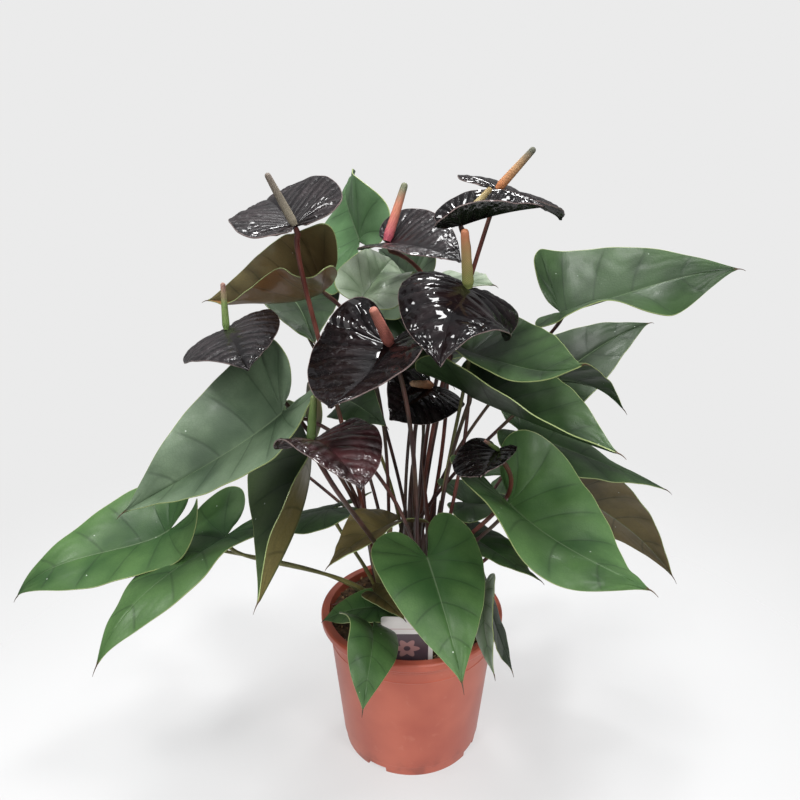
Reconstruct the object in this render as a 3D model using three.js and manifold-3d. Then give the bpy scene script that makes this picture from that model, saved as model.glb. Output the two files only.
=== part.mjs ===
import * as THREE from "three";
import Module from "manifold-3d";
import { mergeVertices } from "three/addons/utils/BufferGeometryUtils.js";

// Potted flamingo flower with near-black blooms in a plastic nursery pot.
// Millimetres, +Z up, the origin in the middle of the pot's underside.
// The viewer's side of the plant is -Y.

// Pot
const POT_HEIGHT = 140;
const RIM_RADIUS = 85;
const NECK_RADIUS = 79;
const BASE_RADIUS = 65;
const WALL = 1.8;
const LIP_HEIGHT = 8;
const RING_DROP = 26;
const RING_PROUD = 0.8;
const FOOT_HEIGHT = 10;
const FOOT_STEP = 0.8;
const FOOT_COUNT = 4;
const FOOT_GAP_ANGLE = 17;
const FIRST_GAP_ANGLE = 239.5;
const SEAT_RADIUS = 40;
const CHANNEL_HEIGHT = 5;
const FLOOR_HEIGHT = 7;
const DRAIN_RADIUS = 4;
const DRAIN_RING_RADIUS = 51;
const DRAIN_COUNT = 8;
const POT_SIDES = 48;

// Soil
const SOIL_LEVEL = 127;
const SOIL_HEAP = 6;
const SOIL_SIDES = 32;
const CLEARANCE = 0.3;

// Crowns, each a short foot from which a bunch of stalks rises
const CROWN_RADIUS = 12;
const CROWN_DEPTH = 16;
const STALK_FOOT = 117.7;
const HOLE_ROOM = 0.9;
const CROWN_PROUD = 4;
const CROWN_SIDES = 14;
const CROWNS = {
  left: [-22, 2],
  front: [4, -24],
  right: [26, 4],
  back: [2, 26],
};

// Stalks
const STALK_SIDES = 5;
const STALK_STEPS = 7;
const PETIOLE_RADIUS = 1.6;
const PEDUNCLE_RADIUS = 1.9;
const STALK_SPREAD = 7;

// Blades
const BLADE_THICKNESS = 0.7;
const SPATHE_THICKNESS = 0.8;
const BLADE_ROWS = 2;
const LOBE_STATION = -0.3;
const BODY_STATION = 0.15;
const TIP_STATION = 0.85;

// Spadix
const SPADIX_RADIUS = 3.8;
const SPADIX_SIDES = 8;

// Care label, standing in the soil behind the front rim
const LABEL_WIDTH = 44;
const LABEL_HEIGHT = 58;
const LABEL_STAKE = 26;
const LABEL_THICKNESS = 0.8;
const LABEL_FOOT = [-5, -62, 101];
const LABEL_LEAN = 10;

// Half outlines of a heart-shaped blade: x runs from the base (0) to the tip (1), y is the half width.
const LEAF_OUTLINE = [
  [0, 0], [-0.1, 0.035], [-0.25, 0.085], [-0.345, 0.19], [-0.3, 0.305], [-0.13, 0.385],
  [0.1, 0.395], [0.36, 0.325], [0.62, 0.2], [0.83, 0.085], [0.94, 0.025], [1, 0],
];
const SPATHE_OUTLINE = [
  [0, 0], [-0.1, 0.05], [-0.23, 0.14], [-0.29, 0.28], [-0.22, 0.42], [-0.04, 0.51],
  [0.2, 0.52], [0.45, 0.455], [0.68, 0.32], [0.85, 0.165], [0.95, 0.05], [1, 0],
];

// How a blade is bent. Folds are degrees above the level of the blade at its lobe, body and tip, for
// the half on the left and the half on the right as seen from the base. Curl bends each half across,
// arch and skew lift the midrib, twist turns the tip, width and lobe stretch the two halves.
const BLADE_DEFAULTS = {
  roll: 0,
  left: [15, 20, 5],
  right: [15, 20, 5],
  curl: 20,
  arch: 0.05,
  skew: 0,
  twist: 0,
  width: [1, 1],
  lobe: [1, 1],
  sway: [0, 0, 0],
  neck: 0.2,
};

// Leaves, with the base and the tip of each midrib
const LEAVES = [
  {
    base: [-101, -68, 362], tip: [-228, -81, 283], crown: "front", roll: 30,
    left: [35, 30, 25], right: [30, 20, 40], curl: 10, arch: -0.03, skew: -0.7, twist: -5,
    sway: [25, -45, 35],
    width: [1, 1.1], lobe: [0.85, 0.5],
  },
  {
    base: [-215, -16, 231], tip: [-347, -41, 179], crown: "left", roll: 20,
    left: [15, 35, 5], right: [15, 25, -10], curl: 25, arch: 0.09, skew: 1.7, twist: -15,
    sway: [-20, 35, -30],
    lobe: [0.9, 1],
  },
  {
    base: [-161, -34, 235], tip: [-239, -143, 187], crown: "left", roll: 0,
    left: [30, 40, -15], right: [20, -5, -10], curl: 25, arch: 0.12, skew: 0.5, twist: 5,
  },
  {
    base: [-86, -23, 315], tip: [-112, -157, 251], crown: "left", roll: -40,
    left: [50, 45, 70], right: [-15, 35, 20], curl: 25, arch: -0.07, skew: -0.4, width: [1, 1.05],
    lobe: [0.5, 1],
  },
  {
    base: [-74, 10, 238], tip: [-169, 42, 189], crown: "left", roll: -10,
    left: [5, 5, 5], right: [15, 5, 5], curl: 30, arch: 0.04, skew: 0.3, lobe: [1, 0.8],
  },
  {
    base: [-73, -4, 442], tip: [-185, 66, 419], crown: "left", roll: 35,
    left: [25, 55, 30], right: [80, 65, 55], curl: -35, arch: -0.06, skew: -0.6, twist: 5,
    sway: [10, 5, 0],
    width: [0.9, 1.1],
  },
  {
    base: [-48, 97, 468], tip: [-64, 226, 512], crown: "left", roll: 60,
    left: [15, 30, 0], right: [5, 35, 5], curl: 5, arch: 0.06, skew: 0.5, sway: [-45, -25, 35],
  },
  {
    base: [-41, 3, 437], tip: [-19, 84, 452], crown: "back", roll: -30,
    left: [30, 50, 5], right: [35, 55, -10], curl: 5, arch: 0.1, skew: 0.6, twist: 5,
    sway: [10, 0, 0],
    width: [0.95, 1.2],
  },
  {
    base: [-112, 100, 412], tip: [-80, -16, 402], crown: "left", roll: 5,
    left: [15, 20, 10], right: [15, 25, 0], curl: 10, arch: 0.04, skew: -0.2, twist: 5,
    sway: [20, 0, 15],
    width: [0.9, 0.9],
  },
  {
    base: [126, 24, 418], tip: [270, 20, 456], crown: "back", roll: -15,
    left: [75, 30, 30], right: [18, 38, -45], curl: 10, arch: 0.03, skew: 1.2, twist: 5,
    sway: [-15, 25, 20],
    width: [1.05, 1.05], lobe: [0.25, 0.5],
  },
  {
    base: [136, 115, 321], tip: [245, 153, 376], crown: "right", roll: -20,
    left: [15, 15, 15], right: [15, 20, 10], arch: 0.07, skew: 0.3,
  },
  {
    base: [42, -38, 400], tip: [106, -152, 427], crown: "right", roll: -5,
    left: [25, 5, 15], right: [-10, 30, -5], curl: -10, arch: -0.05, skew: 0.9, twist: 10,
    sway: [-15, -5, 0],
    width: [1.1, 0.95],
  },
  {
    base: [110, 16, 363], tip: [196, 50, 320], crown: "left", roll: 30,
    left: [20, 10, 30], right: [20, 25, 15], curl: 25, arch: 0.1, skew: 0.4, twist: 5,
    sway: [-15, 10, 15],
    width: [0.85, 0.85],
  },
  {
    base: [44, -52, 370], tip: [127, -174, 375], crown: "right", roll: 10,
    left: [35, 25, 35], right: [15, 40, 25], curl: 5, arch: -0.01, width: [1.1, 1], lobe: [0.8, 0.4],
    sway: [-10, 0, 0],
  },
  {
    base: [96, 18, 311], tip: [231, 13, 256], crown: "right", roll: -5,
    left: [15, 15, -5], right: [15, 10, 5], curl: 25, arch: 0.01, twist: -5, sway: [0, 50, 0],
    lobe: [0.4, 0.5],
  },
  {
    base: [75, -78, 289], tip: [150, -196, 289], crown: "right", roll: 5,
    left: [55, 20, -10], right: [35, 35, -55], curl: 10, arch: -0.04, skew: -0.5,
    width: [1.15, 1], lobe: [0.75, 0.8], sway: [-10, 0, 0],
  },
  {
    base: [151, 46, 239], tip: [252, 23, 158], crown: "right", roll: 60,
    left: [15, 15, 5], right: [15, 15, 10], curl: 25, arch: 0.08, skew: 0.3, twist: 5,
  },
  {
    base: [10, -103, 256], tip: [31, -196, 215], crown: "front", roll: 5,
    left: [25, 10, 10], right: [5, 15, -10], curl: 25, arch: 0.04, skew: 0.2,
    width: [1.05, 1.05], lobe: [1.15, 0.85],
  },
  {
    base: [48, 5, 247], tip: [128, 47, 201], crown: "right", roll: -5,
    left: [15, 20, 5], right: [-5, 30, 5], arch: 0.08, skew: 0.7, width: [0.9, 0.9],
    sway: [15, 5, 0],
    lobe: [0.6, 0.9],
  },
  {
    base: [54, -2, 217], tip: [102, -85, 224], crown: "right", roll: 10,
    left: [15, 15, -10], right: [15, 15, 5], curl: 30, arch: 0, twist: -5, width: [0.8, 0.8],
  },
  {
    base: [-19, -32, 245], tip: [-66, -107, 251], crown: "front", roll: -5,
    left: [15, 35, 10], right: [20, 30, -10], curl: 15, width: [0.85, 0.85],
  },
  {
    base: [-33, -107, 194], tip: [-38, -172, 171], crown: "front", roll: 25,
    left: [5, 0, 5], right: [0, 40, -15], curl: 25, arch: 0.09, skew: -0.6, twist: 10,
    width: [0.9, 1], sway: [-10, 5, 0],
  },
  {
    base: [-29, -52, 176], tip: [-80, -33, 148], crown: "front", roll: 20,
    left: [15, 25, 0], right: [15, 10, 20], curl: 15, arch: 0.08, twist: -10, width: [0.85, 0.85],
  },
  {
    base: [-33, -57, 194], tip: [-7, -86, 187], crown: "front", roll: -5, width: [0.8, 0.8], lobe: [0.6, 0.4],
    sway: [15, -10, 10],
  },
  {
    base: [56, -92, 220], tip: [59, -150, 185], crown: "front", roll: -60,
    right: [15, 15, 5], arch: 0.06, width: [0.7, 0.7], lobe: [0.4, 0.4],
  },
  {
    base: [61, -47, 188], tip: [91, -44, 101], crown: "front", roll: -20,
    left: [15, 10, 15], right: [15, 25, -10], curl: 25, arch: 0, twist: 5, width: [0.6, 0.65],
  },
  {
    base: [-25, 101, 410], tip: [32, -2, 364], crown: "back", roll: -55,
    arch: 0.04, twist: 5, sway: [10, 0, 0],
  },
  {
    base: [16, 143, 414], tip: [71, 46, 437], crown: "back", roll: -15,
    left: [20, 5, 5], right: [30, 40, 10], arch: 0.03, sway: [-25, -15, 20],
  },
  {
    base: [1, 65, 438], tip: [-32, 172, 448], crown: "front", roll: 50,
    right: [35, 20, 5], curl: 15, arch: 0.02, skew: 0.2, sway: [35, -55, 45],
  },
  {
    base: [-56, 18, 340], tip: [-22, -44, 341], crown: "back", roll: -35,
    curl: 25, arch: 0.07, skew: -0.2, width: [0.85, 0.85], lobe: [0.3, 0.3],
  },
  { base: [-150, 110, 285], tip: [-225, 190, 245], crown: "back", roll: 0, arch: 0.06 },
  { base: [15, 120, 350], tip: [45, 235, 300], crown: "back", roll: 5, arch: 0.06 },
  { base: [98, 130, 215], tip: [175, 205, 180], crown: "back", roll: -5, arch: 0.06 },
];

// Blooms: a spathe each, the run of its spadix from the spathe's base, and how far the spadix is let
// down between the folded halves to seat on them
const BLOOMS = [
  {
    base: [-83, -81, 504], tip: [-114, -9, 513], crown: "left", roll: 20, spadix: [-16, -9, 35],
    left: [20, 25, 5], right: [20, 25, 10], curl: 10, arch: 0.07, skew: 0.7, twist: -5,
    sway: [-15, 5, 0], neck: 0.06,
    seat: 0.2,
  },
  {
    base: [-21, 12, 478], tip: [35, -39, 472], crown: "back", roll: -20, spadix: [15, 12, 45],
    left: [30, 20, 10], right: [15, 25, 15], curl: 5, arch: 0.06, twist: -5, sway: [45, 25, 35],
    width: [1, 0.85], lobe: [1, 0.4],
    seat: 0.7,
  },
  {
    base: [65, 3, 521], tip: [125, 43, 493], crown: "back", roll: -5, spadix: [26, -8, 31],
    left: [20, 20, 10], right: [5, 10, 5], curl: 25, arch: 0.06, sway: [-10, 0, 0],
    seat: 1.3,
  },
  {
    base: [39, -59, 456], tip: [15, -142, 422], crown: "back", roll: 10, spadix: [-5, -12, 44],
    left: [10, -20, 20], right: [25, 25, 10], curl: 55, arch: 0.13, twist: 20,
    width: [1.05, 1], lobe: [1.05, 1], sway: [0, 50, 35],
    seat: 1.0,
  },
  {
    base: [-18, -73, 417], tip: [-56, -161, 401], crown: "front", roll: -10, spadix: [-12, -18, 31],
    left: [15, 20, 5], right: [45, 15, 5], curl: 0, arch: -0.03, skew: -0.2, twist: 5,
    width: [1, 1.05], lobe: [1, 0.9], sway: [5, -10, -5],
    seat: 0.4,
  },
  {
    base: [14, -8, 362], tip: [-19, -63, 354], crown: "front", roll: 30, spadix: [-17, -34, 13],
    left: [10, 20, -5], right: [15, 20, 10], curl: 15, arch: 0.06, twist: -5,
    seat: 1.3,
  },
  {
    base: [-149, -23, 415], tip: [-119, -97, 405], crown: "left", roll: -20, spadix: [-1, 5, 37],
    left: [20, 10, 5], right: [10, 5, 20], curl: 35, arch: 0.07, skew: -0.2, twist: -5,
    sway: [10, 5, 5],
    seat: 0.8,
  },
  {
    base: [-72, -132, 365], tip: [-34, -198, 362], crown: "left", roll: -5, spadix: [3, 4, 32],
    left: [25, 10, 0], right: [0, 25, 10], curl: 15, arch: 0.1, skew: -0.5, twist: -15,
    width: [1.05, 0.7], lobe: [1, 0.3], sway: [15, -10, -10],
    seat: 0.9,
  },
  {
    base: [64, -81, 336], tip: [44, -139, 342], crown: "left", roll: -15, spadix: [-12, -10, 12],
    left: [10, 15, 10], right: [25, 15, 0], curl: 30, arch: -0.01, twist: 5, width: [0.45, 1.05],
    lobe: [0.5, 1.05],
    sway: [30, 0, 0],
    seat: 0.7,
  },
  {
    base: [33, -47, 500], tip: [93, -51, 514], crown: "back", roll: -20, spadix: [23, 5, 24],
    left: [25, 25, 20], right: [55, 60, 45], arch: 0.04, sway: [0, 40, 30],
    seat: 0.2,
  },
];

const COLOURS = {
  leaf: 0x2f4a2c,
  youngLeaf: 0x4b4a22,
  spathe: 0x1d1216,
  redSpathe: 0x3a161c,
  spadix: 0xb98a5c,
  greenSpadix: 0x7f8f4a,
  stalk: 0x3b2a26,
  pot: 0xb1604d,
  soil: 0x2b211c,
  label: 0xe6e2dc,
};

const wasm = await Module();
wasm.setup();

const radians = THREE.MathUtils.degToRad;
const UP = new THREE.Vector3(0, 0, 1);

function solid(geometry) {
  const bare = geometry.index ? geometry.clone() : geometry;
  bare.deleteAttribute("normal");
  bare.deleteAttribute("uv");
  const merged = mergeVertices(bare, 1e-5);
  const vertProperties = new Float32Array(merged.attributes.position.array);
  const triVerts = new Uint32Array(merged.index.array);
  return new wasm.Manifold(new wasm.Mesh({ numProp: 3, vertProperties, triVerts }));
}

function geometryOf(manifold) {
  const mesh = manifold.getMesh();
  const geometry = new THREE.BufferGeometry();
  geometry.setAttribute("position", new THREE.BufferAttribute(new Float32Array(mesh.vertProperties), 3));
  geometry.setIndex(new THREE.BufferAttribute(new Uint32Array(mesh.triVerts), 1));
  geometry.computeVertexNormals();
  return geometry;
}

function meshOf(name, geometry, colour, roughness) {
  const material = new THREE.MeshStandardMaterial({ color: colour, roughness, metalness: 0 });
  const mesh = new THREE.Mesh(geometry, material);
  mesh.name = name;
  return mesh;
}

// A value that runs smoothly through its lobe, body and tip values along the midrib
function alongBlade(values, x) {
  const toBody = THREE.MathUtils.smoothstep(x, LOBE_STATION, BODY_STATION);
  const toTip = THREE.MathUtils.smoothstep(x, BODY_STATION, TIP_STATION);
  return values[0] + (values[1] - values[0]) * toBody + (values[2] - values[1]) * toTip;
}

// Length and axes of a blade: along the midrib, to the left of it and out of its upper face
function bladeFrame(blade) {
  const base = new THREE.Vector3(...blade.base);
  const along = new THREE.Vector3(...blade.tip).sub(base);
  const length = along.length();
  along.normalize();
  const level = UP.clone().addScaledVector(along, -UP.dot(along)).normalize();
  const side = level.clone().cross(along);
  const roll = radians(blade.roll);
  const out = level.multiplyScalar(Math.cos(roll)).addScaledVector(side, Math.sin(roll));
  const left = out.clone().cross(along);
  return { base, length, along, left, out };
}

// A point of the bent blade: x along the midrib and d away from it, both in blade lengths
function bladePoint(blade, frame, halfWidth, side, x, d) {
  const half = side > 0 ? 0 : 1;
  const reach = halfWidth * blade.width[half];
  const fold = radians(alongBlade(side > 0 ? blade.left : blade.right, x));
  const curl = radians(blade.curl) || 0.001;
  const bend = (curl * d) / reach;
  const across = (reach / curl) * (Math.sin(fold) - Math.sin(fold - bend)) * side;
  const rise = (reach / curl) * (Math.cos(fold - bend) - Math.cos(fold));
  const lift = rise + 4 * blade.arch * x * (1 - x) * (1 + blade.skew * (2 * x - 1));
  const turn = radians(blade.twist) * x;
  const y = across * Math.cos(turn) - lift * Math.sin(turn);
  const z = across * Math.sin(turn) + lift * Math.cos(turn);
  return frame.base.clone()
    .addScaledVector(frame.along, x * frame.length)
    .addScaledVector(frame.left, y * frame.length)
    .addScaledVector(frame.out, z * frame.length);
}

// Points of one half, station by station round the margin, each row running out along a side vein
function bladeGrid(blade, outline, side) {
  const frame = bladeFrame(blade);
  const half = side > 0 ? 0 : 1;
  const halfWidth = Math.max(...outline.map((point) => point[1]));
  return outline.map(([outlineX, outlineY]) => {
    const endX = outlineX < 0 ? outlineX * blade.lobe[half] : outlineX;
    const endY = outlineY * blade.width[half];
    const root = Math.max(0, endX) ** 1.6;
    const row = [];
    for (let step = 0; step <= BLADE_ROWS; step += 1) {
      const k = step / BLADE_ROWS;
      const x = (1 - k) ** 2 * root + 2 * k * (1 - k) * (0.7 * root + 0.3 * endX) + k * k * endX;
      const d = 2 * k * (1 - k) * 0.55 * endY + k * k * endY;
      row.push(bladePoint(blade, frame, halfWidth, side, x, d));
    }
    return row;
  });
}

// A closed sheet of even thickness round a surface of triangles
function thicken(corners, thickness) {
  const points = [];
  const lookup = new Map();
  const indexOf = (point) => {
    const key = point.toArray().map((value) => value.toFixed(3)).join(" ");
    if (!lookup.has(key)) {
      lookup.set(key, points.length);
      points.push(point);
    }
    return lookup.get(key);
  };
  const triangles = corners
    .map((triangle) => triangle.map(indexOf))
    .filter(([a, b, c]) => a !== b && b !== c && c !== a);
  const normals = points.map(() => new THREE.Vector3());
  for (const [a, b, c] of triangles) {
    const first = points[b].clone().sub(points[a]);
    const normal = first.cross(points[c].clone().sub(points[a]));
    for (const corner of [a, b, c]) {
      normals[corner].add(normal);
    }
  }
  const position = [];
  for (const sign of [0.5, -0.5]) {
    points.forEach((point, i) => {
      const offset = normals[i].clone().normalize().multiplyScalar(sign * thickness);
      position.push(...point.clone().add(offset).toArray());
    });
  }
  const count = points.length;
  const edges = new Set(triangles.flatMap(([a, b, c]) => [`${a} ${b}`, `${b} ${c}`, `${c} ${a}`]));
  const index = [];
  for (const [a, b, c] of triangles) {
    index.push(a, b, c, count + c, count + b, count + a);
    for (const [from, to] of [[a, b], [b, c], [c, a]]) {
      if (!edges.has(`${to} ${from}`)) {
        index.push(to, from, count + from, to, count + from, count + to);
      }
    }
  }
  const geometry = new THREE.BufferGeometry();
  geometry.setAttribute("position", new THREE.Float32BufferAttribute(position, 3));
  geometry.setIndex(index);
  geometry.computeVertexNormals();
  return geometry;
}

function bladeGeometry(blade, outline, thickness) {
  const corners = [];
  for (const side of [1, -1]) {
    const grid = bladeGrid(blade, outline, side);
    for (let i = 0; i + 1 < grid.length; i += 1) {
      for (let j = 0; j < BLADE_ROWS; j += 1) {
        const quad = [grid[i][j], grid[i + 1][j], grid[i + 1][j + 1], grid[i][j + 1]];
        if (side < 0) {
          quad.reverse();
        }
        corners.push([quad[0], quad[1], quad[2]], [quad[0], quad[2], quad[3]]);
      }
    }
  }
  return thicken(corners, thickness);
}

// The direction straight out of the upper face where the stalk meets the blade
function baseNormal(blade) {
  const frame = bladeFrame(blade);
  const slope = Math.atan(4 * blade.arch * (1 - blade.skew));
  return frame.out.multiplyScalar(Math.cos(slope)).addScaledVector(frame.along, -Math.sin(slope));
}

// The run of a stalk from its crown to just under its blade
function stalkCurve(blade, order, count, radius, thickness) {
  const [crownX, crownY] = CROWNS[blade.crown];
  const normal = baseNormal(blade);
  const droop = Math.max(0, 15 - alongBlade(blade.left, 0), 15 - alongBlade(blade.right, 0));
  const drop = thickness / 2 + CLEARANCE + radius * Math.tan(radians(droop));
  const end = new THREE.Vector3(...blade.base).addScaledVector(normal, -drop);
  const angle = Math.atan2(end.y - crownY, end.x - crownX);
  const ring = STALK_SPREAD * Math.sqrt((order + 0.5) / count);
  const foot = new THREE.Vector3(
    crownX + ring * Math.cos(angle),
    crownY + ring * Math.sin(angle),
    STALK_FOOT,
  );
  const reach = foot.distanceTo(end);
  const sway = new THREE.Vector3(...blade.sway);
  const rise = foot.clone().add(new THREE.Vector3(0, 0, 0.4 * reach)).add(sway);
  const bend = end.clone().addScaledVector(normal, -blade.neck * reach).add(sway);
  const neck = end.clone().addScaledVector(normal, -3 * radius);
  const path = new THREE.CurvePath();
  path.add(new THREE.CubicBezierCurve3(foot, rise, bend, neck));
  path.add(new THREE.LineCurve3(neck, end));
  return path;
}

function stalkGeometry(blade, order, count, radius, thickness) {
  const section = new THREE.Shape();
  for (let i = 0; i < STALK_SIDES; i += 1) {
    const angle = (2 * Math.PI * i) / STALK_SIDES;
    const method = i === 0 ? "moveTo" : "lineTo";
    section[method](radius * Math.cos(angle), radius * Math.sin(angle));
  }
  const extrudePath = stalkCurve(blade, order, count, radius, thickness);
  return new THREE.ExtrudeGeometry(section, { steps: STALK_STEPS, extrudePath });
}

function crownGeometry([x, y], radius) {
  const bottom = SOIL_LEVEL - CROWN_DEPTH;
  const top = SOIL_LEVEL + CROWN_PROUD;
  const foot = new THREE.CylinderGeometry(0.8 * radius, radius, top - bottom, CROWN_SIDES);
  foot.rotateX(Math.PI / 2);
  foot.translate(x, y, (top + bottom) / 2);
  return foot;
}

function stalkBunch(crown, stalks) {
  let bunch = solid(crownGeometry(CROWNS[crown], CROWN_RADIUS));
  stalks.forEach(({ blade, radius, thickness }, order) => {
    bunch = bunch.add(solid(stalkGeometry(blade, order, stalks.length, radius, thickness)));
  });
  // A pocket shut in between crossing stalks comes out as a body of its own, and is left filled.
  const [whole] = bunch.decompose().sort((a, b) => b.volume() - a.volume());
  return geometryOf(whole);
}

function spadixGeometry(bloom) {
  const run = new THREE.Vector3(...bloom.spadix);
  const length = run.length();
  const girth = SPADIX_RADIUS * Math.min(1, length / 40);
  const profile = [
    [0, 0], [0.45, 0], [0.9, 0.05], [1, 0.2], [0.95, 0.5], [0.75, 0.85], [0.4, 0.98], [0, 1],
  ];
  const outline = profile.map(([r, h]) => new THREE.Vector2(r * girth, h * length));
  const geometry = new THREE.LatheGeometry(outline, SPADIX_SIDES);
  const axis = run.clone().normalize();
  geometry.applyQuaternion(new THREE.Quaternion().setFromUnitVectors(new THREE.Vector3(0, 1, 0), axis));
  const normal = baseNormal(bloom);
  const tilt = Math.sqrt(1 - Math.min(1, axis.dot(normal)) ** 2);
  const over = girth * (0.2 + tilt * (0.45 + 0.5 * tilt));
  const raised = SPATHE_THICKNESS / 2 + CLEARANCE + over - bloom.seat;
  const start = new THREE.Vector3(...bloom.base).addScaledVector(normal, raised);
  geometry.translate(start.x, start.y, start.z);
  return geometryOf(solid(geometry));
}

function wallRadius(height) {
  return BASE_RADIUS + ((NECK_RADIUS - BASE_RADIUS) * height) / POT_HEIGHT;
}

function potGeometry() {
  const lipBottom = POT_HEIGHT - LIP_HEIGHT;
  const ring = POT_HEIGHT - RING_DROP;
  const channel = BASE_RADIUS - 8;
  const profile = [
    [0, 0],
    [SEAT_RADIUS, 0],
    [SEAT_RADIUS + 4, CHANNEL_HEIGHT],
    [channel, CHANNEL_HEIGHT],
    [channel + 3, 0],
    [BASE_RADIUS - 1, 0],
    [wallRadius(FOOT_HEIGHT) - FOOT_STEP, FOOT_HEIGHT],
    [wallRadius(FOOT_HEIGHT), FOOT_HEIGHT],
    [wallRadius(ring), ring],
    [wallRadius(ring) + RING_PROUD, ring + 1],
    [wallRadius(ring + 2), ring + 2],
    [wallRadius(lipBottom), lipBottom],
    [RIM_RADIUS - 1, lipBottom],
    [RIM_RADIUS, lipBottom + 1.5],
    [RIM_RADIUS, POT_HEIGHT - 1.5],
    [RIM_RADIUS - 1.5, POT_HEIGHT],
    [wallRadius(POT_HEIGHT) - WALL, POT_HEIGHT],
    [wallRadius(FLOOR_HEIGHT) - WALL, FLOOR_HEIGHT],
    [0, FLOOR_HEIGHT],
  ].map(([r, z]) => new THREE.Vector2(r, z));
  const shell = new THREE.LatheGeometry(profile, POT_SIDES);
  shell.rotateX(Math.PI / 2);
  let pot = solid(shell);
  for (let i = 0; i < DRAIN_COUNT; i += 1) {
    const angle = radians(FIRST_GAP_ANGLE + (i * 360) / DRAIN_COUNT);
    const hole = new THREE.CylinderGeometry(DRAIN_RADIUS, DRAIN_RADIUS, 4 * FLOOR_HEIGHT, 10);
    hole.rotateX(Math.PI / 2);
    hole.translate(DRAIN_RING_RADIUS * Math.cos(angle), DRAIN_RING_RADIUS * Math.sin(angle), 0);
    pot = pot.subtract(solid(hole));
  }
  for (let i = 0; i < FOOT_COUNT; i += 1) {
    const angle = radians(FIRST_GAP_ANGLE + (i * 360) / FOOT_COUNT);
    const gap = 2 * BASE_RADIUS * Math.sin(radians(FOOT_GAP_ANGLE / 2));
    const notch = new THREE.BoxGeometry(20, gap, 2 * CHANNEL_HEIGHT);
    notch.rotateZ(angle);
    notch.translate((channel + 10) * Math.cos(angle), (channel + 10) * Math.sin(angle), 0);
    pot = pot.subtract(solid(notch));
  }
  return geometryOf(pot);
}

function soilGeometry() {
  const inside = (height) => wallRadius(height) - WALL - CLEARANCE;
  const bottom = FLOOR_HEIGHT + CLEARANCE;
  const profile = [
    [0, bottom],
    [inside(bottom) - 1, bottom],
    [inside(SOIL_LEVEL + SOIL_HEAP), SOIL_LEVEL + SOIL_HEAP],
    [70, SOIL_LEVEL + SOIL_HEAP],
    [56, SOIL_LEVEL],
    [40, SOIL_LEVEL - 1],
    [0, SOIL_LEVEL],
  ].map(([r, z]) => new THREE.Vector2(r, z));
  const plug = new THREE.LatheGeometry(profile, SOIL_SIDES);
  plug.rotateX(Math.PI / 2);
  let soil = solid(plug);
  for (const [x, y] of Object.values(CROWNS)) {
    const hole = new THREE.CylinderGeometry(
      CROWN_RADIUS + HOLE_ROOM, CROWN_RADIUS + HOLE_ROOM, 2 * (CROWN_DEPTH + CLEARANCE), CROWN_SIDES,
    );
    hole.rotateX(Math.PI / 2);
    hole.translate(x, y, SOIL_LEVEL);
    soil = soil.subtract(solid(hole));
  }
  return geometryOf(soil.subtract(labelSlot()));
}

function placeLabel(geometry) {
  geometry.rotateX(radians(90 + LABEL_LEAN));
  geometry.translate(...LABEL_FOOT);
  return geometry;
}

function labelSlot() {
  const depth = LABEL_THICKNESS + 2 * CLEARANCE;
  const stake = new THREE.BoxGeometry(13, 2 * LABEL_STAKE, depth);
  stake.translate(0, LABEL_STAKE - CLEARANCE, LABEL_THICKNESS / 2);
  const card = new THREE.BoxGeometry(LABEL_WIDTH + 2 * CLEARANCE, LABEL_HEIGHT, depth);
  card.translate(0, LABEL_STAKE - 4 - CLEARANCE + LABEL_HEIGHT / 2, LABEL_THICKNESS / 2);
  return solid(placeLabel(stake)).add(solid(placeLabel(card)));
}

function labelGeometry() {
  const half = LABEL_WIDTH / 2;
  const top = LABEL_STAKE + LABEL_HEIGHT;
  const corner = 3;
  const card = new THREE.Shape();
  card.moveTo(-2, 0);
  card.lineTo(2, 0);
  card.lineTo(6, 8);
  card.lineTo(6, LABEL_STAKE - 4);
  card.lineTo(half - corner, LABEL_STAKE);
  card.quadraticCurveTo(half, LABEL_STAKE, half, LABEL_STAKE + corner);
  card.lineTo(half, top - corner);
  card.quadraticCurveTo(half, top, half - corner, top);
  card.lineTo(corner - half, top);
  card.quadraticCurveTo(-half, top, -half, top - corner);
  card.lineTo(-half, LABEL_STAKE + corner);
  card.quadraticCurveTo(-half, LABEL_STAKE, corner - half, LABEL_STAKE);
  card.lineTo(-6, LABEL_STAKE - 4);
  card.lineTo(-6, 8);
  const options = { depth: LABEL_THICKNESS, bevelEnabled: false, curveSegments: 3 };
  return geometryOf(solid(placeLabel(new THREE.ExtrudeGeometry(card, options))));
}

function numbered(stem, index) {
  return `${stem}_${String(index + 1).padStart(2, "0")}`;
}

const plant = new THREE.Group();
plant.add(meshOf("pot", potGeometry(), COLOURS.pot, 0.5));
plant.add(meshOf("soil", soilGeometry(), COLOURS.soil, 0.95));
plant.add(meshOf("care_label", labelGeometry(), COLOURS.label, 0.4));

const leaves = LEAVES.map((leaf) => ({ ...BLADE_DEFAULTS, ...leaf }));
const blooms = BLOOMS.map((bloom) => ({ ...BLADE_DEFAULTS, ...bloom }));

leaves.forEach((leaf, i) => {
  const colour = i === 5 ? COLOURS.youngLeaf : COLOURS.leaf;
  const geometry = bladeGeometry(leaf, LEAF_OUTLINE, BLADE_THICKNESS);
  plant.add(meshOf(numbered("leaf", i), geometry, colour, 0.35));
});

blooms.forEach((bloom, i) => {
  const geometry = bladeGeometry(bloom, SPATHE_OUTLINE, SPATHE_THICKNESS);
  plant.add(meshOf(numbered("spathe", i), geometry, i === 7 ? COLOURS.redSpathe : COLOURS.spathe, 0.15));
  const tint = i === 6 || i === 7 ? COLOURS.greenSpadix : COLOURS.spadix;
  plant.add(meshOf(numbered("spadix", i), spadixGeometry(bloom), tint, 0.6));
});

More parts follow.
